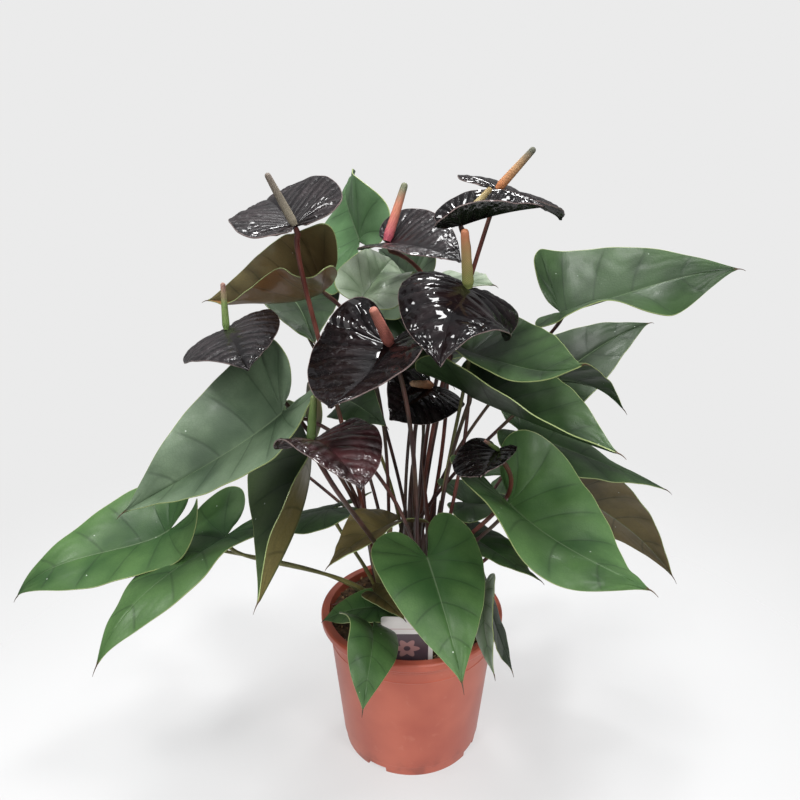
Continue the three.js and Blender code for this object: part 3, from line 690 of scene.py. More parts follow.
@dataclass(frozen=True)
class SpatheBack(Finish):
    """The underside of a bloom: dark plum-grey with raised ribs."""

    ground: str
    light: str

    def sockets(self, s: Shader) -> dict[str, "Wire | str | float"]:
        """Lay out the underside."""
        u, across = s.blade()
        vein = u.veins(SPATHE_VEINS, 0.04, 0.3)
        colour = s.clouded(45, 3, self.ground, self.light)
        colour = s.mix(vein * 0.5, colour, self.light)
        return {
            "Base_Color": s.mix(across.bar().step(MARGIN, 0.997), colour, SPATHE_EDGE_HIGHLIGHT),
            "Roughness": s.noise(200, 2) * 0.2 + 0.28,
            "Normal": s.bump(vein + s.noise(300, 3) * 0.5, 0.4, 0.4),
        }


@dataclass(frozen=True)
class BerryFinish(Finish):
    """A spadix: hundreds of tiny flowers in a lattice, coloured from foot to tip."""

    foot: str
    middle: str
    tip: str

    def sockets(self, s: Shader) -> dict[str, "Wire | str | float"]:
        """Lay out the lattice of flowers."""
        u, v = s.sheet()
        rise, turns = u * (BERRY_RISE * FULL_TURN), v * (BERRY_TURNS * FULL_TURN)
        dot = ((turns + rise).sine() * (turns - rise).sine()).bar().step(0.1, 0.8)
        stops = ((0.15, self.foot), (0.55, self.middle), (0.85, self.tip))
        colour = s.ramp(u + (s.noise(160, 2) - 0.5) * 0.25, *stops)
        return {
            # Painted shade: the gaps between the flowers darkened
            "Base_Color": s.mix((1 - dot) * 0.45, colour, BERRY_GAP_SHADE),
            "Roughness": 0.62 - dot * 0.12,
            "Normal": s.bump(dot + s.noise(1500, 2) * 0.3, 0.6, 0.35),
        }


@dataclass(frozen=True)
class StalkFinish(Finish):
    """A smooth stalk with fine lengthwise streaks and small pale dots."""

    ground: str
    light: str

    def sockets(self, s: Shader) -> dict[str, "Wire | str | float"]:
        """Lay out the streaks and dots."""
        _, v = s.sheet()
        streak = (v * (STREAKS * FULL_TURN)).sine() * 0.5 + 0.5
        colour = s.clouded(40, 3, self.ground, self.light)
        colour = s.mix(s.noise(16, 2).step(0.45, 0.65) * 0.45, colour, STALK_GREEN)
        colour = s.mix(streak * 0.2, colour, self.light)
        dots = 1 - s.cells(420).step(0.1, 0.2)
        return {
            "Base_Color": s.mix(dots * 0.25, colour, MIDRIB_LIGHT),
            "Roughness": s.noise(300, 2) * 0.15 + 0.3,
            "Normal": s.bump(streak * 0.5 + s.noise(500, 2), 0.3, 0.2),
        }


@dataclass(frozen=True)
class PotFinish(Finish):
    """Moulded terracotta-coloured plastic with faint flow marks, scuffs, and patches darker towards the
    foot.
    """

    ground: str
    deep: str
    scuff: str

    def sockets(self, s: Shader) -> dict[str, "Wire | str | float"]:
        """Lay out the plastic."""
        z = s.axis(s.place(), "Z")
        grain = s.noise(1800, 3)
        lines = (z * FLOW_LINES).sine() * 0.5 + 0.5
        colour = s.clouded(14, 3, self.ground, self.deep, 0.3)
        scratch = s.noise(95, 6).step(0.62, 0.74)
        colour = s.mix(scratch * 0.22, colour, self.scuff)
        # Darker in patches towards the foot
        low = 1 - z.step(0.0, 0.03)
        return {
            "Base_Color": s.mix(low * s.noise(60, 4).step(0.45, 0.7) * 0.3, colour, POT_FOOT_DARK),
            "Roughness": grain * 0.1 + 0.36 + scratch * 0.12,
            "Normal": s.bump(grain * 0.5 + lines * 0.12, 0.25, 0.15),
        }


@dataclass(frozen=True)
class SoilFinish(Finish):
    """Peat, a crumb in it, or the bark of a crown."""

    ground: str
    light: str

    def sockets(self, s: Shader) -> dict[str, "Wire | str | float"]:
        """Lay out the grains."""
        grain = s.noise(420, 5)
        colour = s.clouded(180, 4, self.ground, self.light, 0.4)
        colour = s.mix(s.cells(260).step(0.1, 0.5) * 0.4, colour, self.ground)
        return {"Base_Color": colour, "Roughness": 0.95, "Normal": s.bump(grain, 0.9, 1.2)}


@dataclass(frozen=True)
class LabelFinish(Finish):
    """A printed card: white, with a dark panel that holds a plain ring of pale petals."""

    card: str
    panel: str
    petal: str
    dust: str

    PANEL_FOOT = LABEL_STAKE + 4
    PANEL_TOP = LABEL_STAKE + 38
    LINE = LABEL_STAKE + 44
    BORDER = 4.0

    def ring(self, x: Wire, up: Wire) -> Wire:
        """Three narrow ovals across each other, which make six petals."""
        ring = None
        for turn in (0, 60, 120):
            c, w = math.cos(math.radians(turn)), math.sin(math.radians(turn))
            along, across = x * c + up * w, up * c - x * w
            oval = (along * along + across * across * 9).root()
            shape = 1 - oval.step(10.5 * MM, 11.5 * MM)
            ring = shape if ring is None else ring.most(shape)
        return ring

    def sockets(self, s: Shader) -> dict[str, "Wire | str | float"]:
        """Lay out the card."""
        place = s.place()
        x = s.axis(place, "X") - LABEL_FOOT[0] * MM
        lean = math.cos(math.radians(LABEL_LEAN))
        z = (s.axis(place, "Z") - LABEL_FOOT[2] * MM) * (1 / lean)
        half, soft = (LABEL_WIDTH / 2 - self.BORDER) * MM, 0.3 * MM
        low, high = self.PANEL_FOOT * MM, self.PANEL_TOP * MM
        wide = 1 - x.bar().step(half, half + soft)
        panel = wide * z.step(low, low + soft) * (1 - z.step(high, high + soft))
        up = z - (low + high) / 2
        core = 1 - (x * x + up * up).root().step(2.6 * MM, 3.2 * MM)
        colour = s.mix(panel, self.card, self.panel)
        colour = s.mix(panel * self.ring(x, up) * 0.75, colour, self.petal)
        colour = s.mix(panel * core, colour, self.panel)
        bar = 1 - (z - self.LINE * MM).bar().step(0.4 * MM, 0.6 * MM)
        colour = s.mix(bar * wide * 0.6, colour, self.petal)
        return {
            "Base_Color": s.mix(s.noise(70, 3) * 0.12, colour, self.dust),
            "Roughness": s.noise(400, 2) * 0.1 + 0.3,
            "Normal": s.bump(s.noise(900, 2), 0.15, 0.1),
        }


LEAF_FACES = {
    # Painted shade: a darker green for the leaves that sit in shade
    Face.DEEP: LeafFace("leaf_painted_shade", "#16250f", "#263a1d", "#304627", 0.48, 0.04),
    Face.DARK: LeafFace("leaf_dark", "#1f3219", "#38502e", "#466038", 0.46, 0.06),
    Face.FLUSHED: LeafFace("leaf_flushed", "#26361e", "#40542f", "#50643a", 0.42, 0.1, "#7d7145"),
    Face.FRESH: LeafFace("leaf_fresh", "#2d4a26", "#4a6839", "#5a7b46", 0.44, 0.06),
    Face.BRIGHT: LeafFace("leaf_bright", "#3a5734", "#587a50", "#6c8c66", 0.46, 0.05),
    # Painted sheen: a greyer, lighter green that stands in for the leaf's sheen
    Face.DUSTY: LeafFace("leaf_painted_sheen", "#3a4c37", "#617459", "#7c8f75", 0.42, 0.12),
    Face.OLIVE: LeafFace("leaf_olive", "#423b20", "#6a5e36", "#7e6e44", 0.46, 0.06),
    Face.YOUNG: LeafFace("leaf_young", "#4d472f", "#77704f", "#8d8258", 0.36, 0.25, "#8a5f38"),
    # Painted sheen: a whitish green that stands in for glare, under a strong coat
    Face.PALE: LeafFace("leaf_pale_painted_sheen", "#6c7e62", "#a6b39b", "#c4cebc", 0.3, 0.6),
}
LEAF_BACKS = {
    Back.GREEN: LeafBack("leaf_back_green", "#3f5233", "#647549", "#949f6e", 0.5),
    Back.BRONZE: LeafBack("leaf_back_bronze", "#3e3220", "#66512f", "#8a7548", 0.48),
    Back.AMBER: LeafBack("leaf_back_amber", "#90521c", "#c47c34", "#d49d58", 0.62),
    Back.GREY: LeafBack("leaf_back_grey", "#808a74", "#b4b9a4", "#d0d2be", 0.5),
}
SKINS = {
    Skin.MAROON: StalkFinish("stalk_maroon", "#341d1d", "#603c37"),
    Skin.OLIVE: StalkFinish("stalk_olive", "#5b5a30", "#8f8a52"),
    Skin.RED: StalkFinish("stalk_red", "#52241f", "#7c453b"),
    Skin.PINK: StalkFinish("stalk_pink", "#85604c", "#aa946c"),
}
BERRIES = {
    Berry.GREY: BerryFinish("berry_grey", "#a39a85", "#8c8474", "#8a7f74"),
    Berry.PINK: BerryFinish("berry_pink", "#c8586a", "#d9876a", "#7f8468"),
    Berry.FIRE: BerryFinish("berry_fire", "#d98a55", "#c79b6c", "#6f7261"),
    Berry.TAN: BerryFinish("berry_tan", "#b9764f", "#cf946a", "#dcb08c"),
    Berry.OLIVE: BerryFinish("berry_olive", "#8d9a52", "#b59a66", "#d68a62"),
    Berry.SALMON: BerryFinish("berry_salmon", "#b8685e", "#c97a6c", "#c9806e"),
    Berry.GREEN: BerryFinish("berry_green", "#6f9148", "#8ba45c", "#c09284"),
    Berry.MOSS: BerryFinish("berry_moss", "#4d6a30", "#5f7d3a", "#7c8f52"),
    Berry.PALE: BerryFinish("berry_pale", "#cfc492", "#c4b380", "#ab935f"),
}
SPATHE_FACES = {
    Tone.BLACK: SpatheFace("spathe_black", "#0a0708", "#160c0d", 0.04, 0.65, 0.07),
    # Painted reflection: a lighter ground and stronger painted rib highlights, on top of more real gloss
    Tone.SMOKY: SpatheFace("spathe_painted_reflection", "#131011", "#221b1c", 0.18, 0.5, 0.32),
    Tone.RED: SpatheFace("spathe_red", "#1b0b0c", "#3c1d1f", 0.2, 0.55, 0.3),
}
CARD = LabelFinish("label_card", "#e9e4e0", "#4a3a44", "#b98a86", "#8f8680")
PLASTIC = PotFinish("pot_plastic", "#c36750", "#ae523e", "#d08e7a")
PEAT = SoilFinish("peat", "#4d3b2b", "#8a6c4d")
BARK = SoilFinish("crown_bark", "#4a3326", "#75563d")
CRUMBS = (
    SoilFinish("crumb_dark", "#3d2f24", "#6b533d"),
    SoilFinish("crumb_tan", "#a9845d", "#dcbd93"),
    SoilFinish("crumb_brown", "#77583e", "#a9845f"),
)


def materials(finishes: Mapping[Enum, Finish]) -> dict[Enum, bpy.types.Material]:
    """Build the material of each kind."""
    return {kind: finish.material() for kind, finish in finishes.items()}


def smooth(values: Grid, low: float, high: float) -> Grid:
    """A smooth step from 0 at low to 1 at high."""
    share = np.clip((values - low) / (high - low), 0, 1)
    return share * share * (3 - 2 * share)


def unit(vectors: Grid) -> Grid:
    """Scale vectors to a length of 1, leaving those of no length alone."""
    length = np.linalg.norm(vectors, axis=-1, keepdims=True)
    return np.divide(vectors, length, out=np.zeros_like(vectors), where=length > 1e-9)


def smooth_line(corners: Sequence[Sequence[float]], count: int) -> Grid:
    """Run a Catmull-Rom curve through the corners.

    Args:
        corners: the points that the curve passes through.
        count: how many equal steps it is cut into.

    Returns:
        count + 1 points, evenly spaced along the curve.
    """
    p = np.array(corners, float)
    p = np.vstack([2 * p[0] - p[1], p, 2 * p[-1] - p[-2]])
    t = np.linspace(0, 1, 24, endpoint=False)[:, None]
    runs = []
    for a, b, c, d in zip(p, p[1:], p[2:], p[3:]):
        runs.append(b + 0.5 * t * (c - a + t * (2 * a - 5 * b + 4 * c - d + t * (3 * (b - c) + d - a))))
    line = np.vstack([*runs, p[-2]])
    way = np.concatenate([[0], np.cumsum(np.linalg.norm(np.diff(line, axis=0), axis=1))])
    marks = np.linspace(0, way[-1], count + 1)
    return np.stack([np.interp(marks, way, line[:, i]) for i in range(line.shape[1])], axis=1)


def tube(line: Grid, radii: Grid, sides: int) -> Grid:
    """Rings of points round a line, with both ends shut.

    Args:
        line: the middle of the tube.
        radii: its radius at each point of the line.
        sides: how many points each ring has.

    Returns:
        The rows of points, one for each point of the line and one more for each end.
    """
    along = unit(np.gradient(line, axis=0))
    across = [unit(np.cross(along[0], ASKEW))]
    for direction in along[1:]:
        across.append(unit(across[-1] - direction * (across[-1] @ direction)))
    first = np.array(across)
    second = np.cross(along, first)
    angle = np.linspace(0, FULL_TURN, sides + 1)[None, :, None]
    ring = first[:, None] * np.cos(angle) + second[:, None] * np.sin(angle)
    rings = line[:, None] + radii[:, None, None] * ring
    ends = [np.repeat(end[None, None], sides + 1, axis=1) for end in (line[0], line[-1])]
    return np.concatenate([ends[0], rings, ends[1]])


def deselect() -> None:
    """Leave nothing selected, because an operator acts on all that is."""
    if bpy.context.object and bpy.context.object.mode != "OBJECT":
        bpy.ops.object.mode_set(mode="OBJECT")
    bpy.ops.object.select_all(action="DESELECT")


def activate(piece: bpy.types.Object) -> None:
    """Select one piece alone and make it the active one."""
    deselect()
    piece.select_set(True)
    bpy.context.view_layer.objects.active = piece


def laid_grid(name: str, points: Grid, outward: bool = False) -> bpy.types.Object:
    """Add a flat grid and lay its crossings on the given points.

    Args:
        name: the new piece's name.
        points: rows of points in millimetres; those that meet are merged.
        outward: whether the grid closes up, so that its faces are turned outwards.

    Returns:
        The piece, with its rows and columns kept as a map.
    """
    rows, columns = points.shape[0] - 1, points.shape[1] - 1
    deselect()
    bpy.ops.mesh.primitive_grid_add(x_subdivisions=rows, y_subdivisions=columns, size=1)
    piece = bpy.context.object
    piece.name = piece.data.name = name
    piece.data.uv_layers[0].name = SHEET_MAP
    flat = np.empty(3 * len(piece.data.vertices))
    piece.data.vertices.foreach_get("co", flat)
    flat = flat.reshape(-1, 3)
    row = np.rint((flat[:, 0] + 0.5) * rows).astype(int)
    column = np.rint((flat[:, 1] + 0.5) * columns).astype(int)
    piece.data.vertices.foreach_set("co", (points[row, column] * MM).ravel())
    bpy.ops.object.mode_set(mode="EDIT")
    bpy.ops.mesh.select_all(action="SELECT")
    bpy.ops.mesh.remove_doubles(threshold=WELD * MM)
    if outward:
        bpy.ops.mesh.normals_make_consistent(inside=False)
    bpy.ops.object.mode_set(mode="OBJECT")
    return piece


def turned(name: str, profile: Sequence[Pair], sides: int, place: Pair = (0.0, 0.0)) -> bpy.types.Object:
    """Add a round face, and extrude and scale it from ring to ring into a closed piece.

    Args:
        name: the new piece's name.
        profile: radius and height of each ring in millimetres; the first and the last are filled.
        sides: how many points each ring has.
        place: where its axis stands.

    Returns:
        The turned piece.
    """
    (x, y), (radius, height) = [value * MM for value in place], profile[0]
    deselect()
    settings = {"fill_type": "NGON", "location": (x, y, height * MM)}
    bpy.ops.mesh.primitive_circle_add(vertices=sides, radius=radius * MM, **settings)
    piece = bpy.context.object
    piece.name = piece.data.name = name
    bpy.ops.object.transform_apply(location=True)
    bpy.ops.object.mode_set(mode="EDIT")
    bpy.ops.mesh.select_all(action="SELECT")
    for wide, high in profile[1:]:
        lift = {"value": (0, 0, (high - height) * MM)}
        bpy.ops.mesh.extrude_region_move(TRANSFORM_OT_translate=lift)
        share = wide / radius
        bpy.ops.transform.resize(value=(share, share, 1), center_override=(x, y, high * MM))
        radius, height = wide, high
    bpy.ops.mesh.select_all(action="SELECT")
    bpy.ops.mesh.normals_make_consistent(inside=False)
    bpy.ops.object.mode_set(mode="OBJECT")
    return piece


def apply_modifier(piece: bpy.types.Object, kind: str, **settings: object) -> None:
    """Add a modifier with these settings and apply it."""
    activate(piece)
    modifier = piece.modifiers.new(kind.lower(), kind)
    for key, value in settings.items():
        setattr(modifier, key, value)
    bpy.ops.object.modifier_apply(modifier=modifier.name)


def joined(pieces: Sequence[bpy.types.Object], name: str) -> bpy.types.Object:
    """Join pieces into one, with the materials of each kept."""
    activate(pieces[0])
    for piece in pieces[1:]:
        piece.select_set(True)
    if len(pieces) > 1:
        bpy.ops.object.join()
    pieces[0].name = pieces[0].data.name = name
    return pieces[0]


def dress(piece: bpy.types.Object, *materials: bpy.types.Material) -> None:
    """Give a piece its materials."""
    piece.data.materials.clear()
    for material in materials:
        piece.data.materials.append(material)


def place_piece(piece: bpy.types.Object, crease: float | None, slot: str, *nodes: str) -> None:
    """Finish a piece and ride it on the plant's body.

    Args:
        piece: the modelled and dressed piece.
        crease: the angle in degrees from which an edge stays sharp; None leaves all faces flat.
        slot: the name of its slot; it is not used.
        nodes: the CAD nodes that it stands for.
    """
    if crease is not None:
        activate(piece)
        bpy.ops.object.shade_smooth_by_angle(angle=math.radians(crease))
    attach(piece, BODY)
    if nodes:
        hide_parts(*nodes)
    LOG.info("%s: %d faces", piece.name, len(piece.data.polygons))


@dataclass(frozen=True)
class Relief:
    """The small forms on a blade: veins, puckers between them and a wavy margin, with heights in mm."""

    veins: int
    groove: float
    pucker: float
    crossings: float
    ripple: float
    midrib: float

    MIRROR = 1.7  # shifts the waves of the right half against those of the left
    SCATTER = 2.399  # the golden angle, which sets the puckers of neighbouring lanes apart
    MIDRIB_WIDTH = 0.035

    def height(self, s: Grid, k: Grid, seed: int) -> Grid:
        """Work out the height above the plain blade.

        Args:
            s: the way along the margin, from 0 at the base to 1 at the tip.
            k: the way out from the midrib, from 0 to 1 on the left and to -1 on the right.
            seed: picks the waves and puckers of this blade.

        Returns:
            The height at each point.
        """
        draw = random.Random(seed)
        far = np.abs(k)
        side = np.where(k < 0, self.MIRROR, 0.0)
        lane = s * self.veins
        warp = 0.12 * np.sin(9 * far + 2.3 * lane + draw.uniform(0, 6) + side)
        quilt = np.abs(np.sin(math.pi * (lane + warp * smooth(far, 0.2, 0.6))))
        cell = np.floor(lane) * self.SCATTER + side
        rung = far ** 1.3 * self.crossings + 0.9 * np.sin(cell * 5.1) + 0.35 * np.sin(lane * 6 + cell)
        bead = np.abs(np.sin(math.pi * rung))
        inner = smooth(far, 0.03, 0.25) * (1 - smooth(far, 0.9, 1.0))
        height = self.groove * (quilt ** 0.6 - 0.6) * inner
        height += self.pucker * (np.sqrt(quilt * bead) - 0.5) * inner * smooth(far, 0.25, 0.6)
        waves = np.sin(FULL_TURN * (draw.uniform(3.2, 4.4) * s + draw.random()) + side)
        waves = waves + 0.5 * np.sin(FULL_TURN * (draw.uniform(7, 9) * s + draw.random()) + 2 * side)
        height += self.ripple * waves * far ** 3 * smooth(s, 0.0, 0.1) * (1 - smooth(s, 0.85, 1.0))
        return height - self.midrib * np.exp(-((far / self.MIDRIB_WIDTH) ** 2))


LEAF_RELIEF = Relief(LEAF_VEINS, groove=0.5, pucker=0.35, crossings=3, ripple=0.8, midrib=0.6)
SPATHE_RELIEF = Relief(SPATHE_VEINS, groove=1.6, pucker=1.2, crossings=5, ripple=0.6, midrib=0.6)


@dataclass(frozen=True)
class Sheet:
    """The bent surface of a blade: an outline laid along its midrib."""

    blade: Blade
    outline: tuple[Pair, ...]
    relief: Relief
    seed: int

    LOBE_STATION = -0.3
    BODY_STATION = 0.15
    TIP_STATION = 0.85
    FULL_RELIEF = 110.0  # the length from which a blade has its whole relief
    THREAD = (0.55, 0.15)  # the radius of the thread at the tip, at its two ends

    def along_blade(self, values: Triple, x: Grid) -> Grid:
        """A value that runs smoothly from the lobe through the body to the tip."""
        body = smooth(x, self.LOBE_STATION, self.BODY_STATION)
        tip = smooth(x, self.BODY_STATION, self.TIP_STATION)
        return values[0] + (values[1] - values[0]) * body + (values[2] - values[1]) * tip

    def axes(self) -> tuple[Grid, float, Grid, Grid, Grid]:
        """The base, the length, and the directions along, to the left and out of the upper face."""
        base = np.array(self.blade.base, float)
        run = np.array(self.blade.tip, float) - base
        length = float(np.linalg.norm(run))
        along = run / length
        level = unit(UP - along * along[2])
        side = np.cross(level, along)
        roll = math.radians(self.blade.roll)
        out = math.cos(roll) * level + math.sin(roll) * side
        return base, length, along, np.cross(out, along), out

    def points(self, steps: int, rows: int) -> Grid:
        """Lay the blade out as a grid.

        Args:
            steps: how many steps the margin of each half is cut into.
            rows: how many steps lie between the midrib and the margin.

        Returns:
            Points in millimetres, from the base to the tip and from the right margin to the left.
        """
        blade = self.blade
        base, length, along, left, out = self.axes()
        half_width = max(y for _, y in self.outline)
        margin = smooth_line(self.outline, steps)
        share = np.sin(np.linspace(0, 0.5 * math.pi, rows + 1)) * 0.35 + np.linspace(0, 0.65, rows + 1)
        k = np.concatenate([-share[:0:-1], share])[None, :]
        s = np.linspace(0, 1, steps + 1)[:, None]
        half = np.where(k < 0, 1, 0)
        far = np.abs(k)
        # Where each point lies while the blade is still flat
        end_x = margin[:, 0, None] * np.where(margin[:, 0, None] < 0, np.array(blade.lobe)[half], 1)
        end_y = margin[:, 1, None] * np.array(blade.width)[half]
        root = np.maximum(0, end_x) ** 1.6
        x = (1 - far) ** 2 * root + 2 * far * (1 - far) * (0.7 * root + 0.3 * end_x) + far**2 * end_x
        d = 2 * far * (1 - far) * 0.55 * end_y + far**2 * end_y
        # Each half folds up from the midrib and curls, then the whole blade arches and twists
        folds = np.where(k < 0, self.along_blade(blade.right, x), self.along_blade(blade.left, x))
        fold = np.radians(folds)
        curl = math.radians(blade.curl) or 0.001
        reach = half_width * np.array(blade.width)[half]
        bend = curl * d / reach
        across = reach / curl * (np.sin(fold) - np.sin(fold - bend)) * np.where(k < 0, -1, 1)
        rise = reach / curl * (np.cos(fold - bend) - np.cos(fold))
        lift = rise + 4 * blade.arch * x * (1 - x) * (1 + blade.skew * (2 * x - 1))
        turn = np.radians(blade.twist) * x
        y = across * np.cos(turn) - lift * np.sin(turn)
        z = across * np.sin(turn) + lift * np.cos(turn)
        bent = base + length * (x[..., None] * along + y[..., None] * left + z[..., None] * out)
        normal = np.cross(np.gradient(bent, axis=0), np.gradient(bent, axis=1))
        size = np.linalg.norm(normal, axis=-1, keepdims=True)
        normal = np.where(size > 1e-4, normal / np.maximum(size, 1e-4), 0)
        height = self.relief.height(s, k, self.seed) * min(1.0, length / self.FULL_RELIEF)
        return bent + height[..., None] * normal

    def tail(self, name: str) -> bpy.types.Object:
        """Model the thin thread that the tip is drawn out to."""
        steps, rows = 60, 3
        points = self.points(steps, rows)
        end, before = points[-1, rows], points[-6, rows]
        t = np.linspace(0, 1, 9)[:, None]
        length = min(7.0, 0.06 * self.axes()[1])
        line = end + length * (t - 0.12) * unit(end - before) - (0, 0, 0.35 * length) * t**2
        return laid_grid(name, tube(line, np.linspace(*self.THREAD, len(t)), 8), outward=True)

    def base_normal(self) -> Grid:
        """The direction straight out of the upper face where the stalk meets the blade."""
        _, _, along, _, out = self.axes()
        slope = math.atan(4 * self.blade.arch * (1 - self.blade.skew))
        return math.cos(slope) * out - math.sin(slope) * along

    def piece(self, name: str, thickness: float, pitch: float) -> bpy.types.Object:
        """Mesh the blade as a closed sheet.

        Args:
            name: the piece's name.
            thickness: of the sheet, in millimetres.
            pitch: the wanted size of a mesh face, in millimetres.

        Returns:
            The piece; its faces take the materials of the upper side, the underside and the edge.
        """
        length = self.axes()[1]
        steps = max(40, round(2.15 * length / pitch))
        rows = max(9, round(0.42 * length / pitch))
        piece = laid_grid(name, self.points(steps, rows))
        sides = {"material_offset": 1, "material_offset_rim": 2, "use_quality_normals": True}
        apply_modifier(piece, "SOLIDIFY", thickness=thickness * MM, offset=0, **sides)
        return piece


def sheets_of(blades: Sequence[Blade], outline: tuple[Pair, ...], relief: Relief, seed: int) -> list[Sheet]:
    """The bent surface of each blade, with a seed of its own."""
    return [Sheet(blade, outline, relief, seed + i) for i, blade in enumerate(blades)]


@dataclass(frozen=True)
class Stalk:
    """The stalk of a blade, from its crown to the underside of the blade."""

    sheet: Sheet
    order: int
    count: int
    radius: float
    thickness: float

    SIDES = 12
    STEPS = 30
    TIP_STEPS = 5
    SLENDER = 0.94
    FLARES = ((0.3, 16), (0.45, 75))  # how much the foot swells, and over what length
    KNEE = (0.16, 22, 12)  # how much the knee swells, and from where to where below the top
    TIP_SHARES = (0.94, 0.88, 0.8)

    def line(self) -> Grid:
        """The middle of the stalk."""
        blade = self.sheet.blade
        crown = np.array(blade.crown.value)
        normal = self.sheet.base_normal()
        lobes = [self.sheet.along_blade(side, np.array(0.0)) for side in (blade.left, blade.right)]
        droop = max(0.0, 15 - float(lobes[0]), 15 - float(lobes[1]))
        drop = self.thickness / 2 + CLEARANCE + self.radius * math.tan(math.radians(droop))
        base = np.array(blade.base, float)
        end = base - drop * normal
        away = unit(end[:2] - crown)
        ring = STALK_SPREAD * math.sqrt((self.order + 0.5) / self.count)
        foot = np.array([*(crown + ring * away), STALK_FOOT])
        reach = np.linalg.norm(end - foot)
        sway = np.array(blade.sway, float)
        rise = foot + (0, 0, 0.4 * reach) + sway
        bend = end - blade.neck * reach * normal + sway
        neck = end - 3 * self.radius * normal
        t = np.linspace(0, 1, self.STEPS + 1)[:, None]
        curve = (1 - t) ** 3 * foot + 3 * t * (1 - t) ** 2 * rise + 3 * t * t * (1 - t) * bend + t**3 * neck
        top = base - 0.25 * self.thickness * normal
        last = np.linspace(0, 1, self.TIP_STEPS + 1)[1:, None]
        return np.vstack([curve, (1 - last) * neck + last * top])

    def piece(self, name: str, material: bpy.types.Material) -> bpy.types.Object:
        """Model the stalk: a broad sheath at its foot and a swollen knee under the blade."""
        line = self.line()
        way = np.concatenate([[0], np.cumsum(np.linalg.norm(np.diff(line, axis=0), axis=1))])
        foot = sum(swell * np.exp(-way / reach) for swell, reach in self.FLARES)
        swell, low, high = self.KNEE
        knee = swell * smooth(way, way[-1] - low, way[-1] - high)
        radii = self.SLENDER * self.radius * (1 + foot + knee)
        radii[-3:] *= self.TIP_SHARES
        piece = laid_grid(name, tube(line, radii, self.SIDES), outward=True)
        dress(piece, material)
        return piece


@dataclass(frozen=True)
class Spadix:
    """The spike of tiny flowers that stands on a spathe."""

    sheet: Sheet

    GIRTH = 3.5
    FULL_GIRTH = 40.0  # the length from which a spadix has its whole girth
    ROWS = 96
    SIDES = 48
    BUMP = 0.3
    SPIRALS = 7
    LATTICE = 3.0
    TAPER = 0.38

    def piece(self, name: str) -> bpy.types.Object:
        """Model the spadix as a tapered spike with a lattice of small bumps."""
        bloom = self.sheet.blade
        run = np.array(bloom.spadix, float)
        length = float(np.linalg.norm(run))
        girth = self.GIRTH * bloom.girth * min(1.0, length / self.FULL_GIRTH)
        axis = run / length
        normal = self.sheet.base_normal()
        tilt = math.sqrt(max(0.0, 1 - min(1.0, float(axis @ normal)) ** 2))
        over = girth * (0.1 + tilt * (0.4 + 0.4 * tilt))
        start = np.array(bloom.base, float) + (SPATHE_THICKNESS / 2 + over - bloom.seat) * normal
        # The rows crowd at both ends, where the spike rounds off
        t = 0.5 - 0.5 * np.cos(np.linspace(0, math.pi, self.ROWS + 1))
        t = 0.6 * t + 0.4 * np.linspace(0, 1, self.ROWS + 1)
        tip = np.sqrt(1 - np.clip((t - 0.94) / 0.06, 0, 1) ** 2)
        radii = girth * (1 - self.TAPER * t**1.3) * tip * (0.72 + 0.28 * smooth(t, 0, 0.12))
        radii[0] = 0
        side = unit(np.cross(axis, ASKEW))
        other = np.cross(axis, side)
        angle = np.linspace(0, FULL_TURN, self.SIDES + 1)[None, :]
        wind, rise = self.SPIRALS * angle, length / self.LATTICE * FULL_TURN * t[:, None]
        lattice = np.sin(wind + rise) * np.sin(wind - rise)
        bump = self.BUMP * np.abs(lattice) * smooth(radii, 0, 0.5 * girth)[:, None]
        ring = side * np.cos(angle)[..., None] + other * np.sin(angle)[..., None]
        points = start + (t * length)[:, None, None] * axis + (radii[:, None] + bump)[..., None] * ring
        return laid_grid(name, points, outward=True)


@dataclass(frozen=True)
class Sheath:
    """A dry pointed sheath that stands round the foot of the stalks."""

    crown: Crown
    heading: float
    length: float
    lean: float
    width: float = 5.5
    skin: Skin = Skin.RED

    ROWS = 40
    COLUMNS = 12
    REACH = 6.5
    THICKNESS = 0.5

    def piece(self, name: str, material: bpy.types.Material) -> bpy.types.Object:
        """Model the sheath as a hollow blade that bends away from its crown."""
        heading, lean = math.radians(self.heading), math.radians(self.lean)
        away = np.array((math.cos(heading), math.sin(heading), 0.0))
        side = np.array((-math.sin(heading), math.cos(heading), 0.0))
        foot = np.array((*self.crown.value, SOIL_LEVEL - 2)) + self.REACH * away
        end = foot + self.length * (math.sin(lean) * away + math.cos(lean) * UP)
        middle = foot + 0.5 * self.length * UP
        t = np.linspace(0, 1, self.ROWS + 1)[:, None]
        line = (1 - t) ** 2 * foot + 2 * t * (1 - t) * middle + t * t * end
        out = np.cross(side, unit(np.gradient(line, axis=0)))
        wide = self.width * (0.75 + 0.9 * t) * (1 - t**2.2) + 0.1
        bend = np.linspace(-1.5, 1.5, self.COLUMNS + 1)[None, :]
        across = (wide * np.sin(bend) / 1.2)[..., None] * side
        bulge = (0.6 * wide * np.cos(bend))[..., None] * out[:, None]
        piece = laid_grid(name, line[:, None] + across + bulge)
        apply_modifier(piece, "SOLIDIFY", thickness=self.THICKNESS * MM, offset=0)
        dress(piece, material)
        return piece


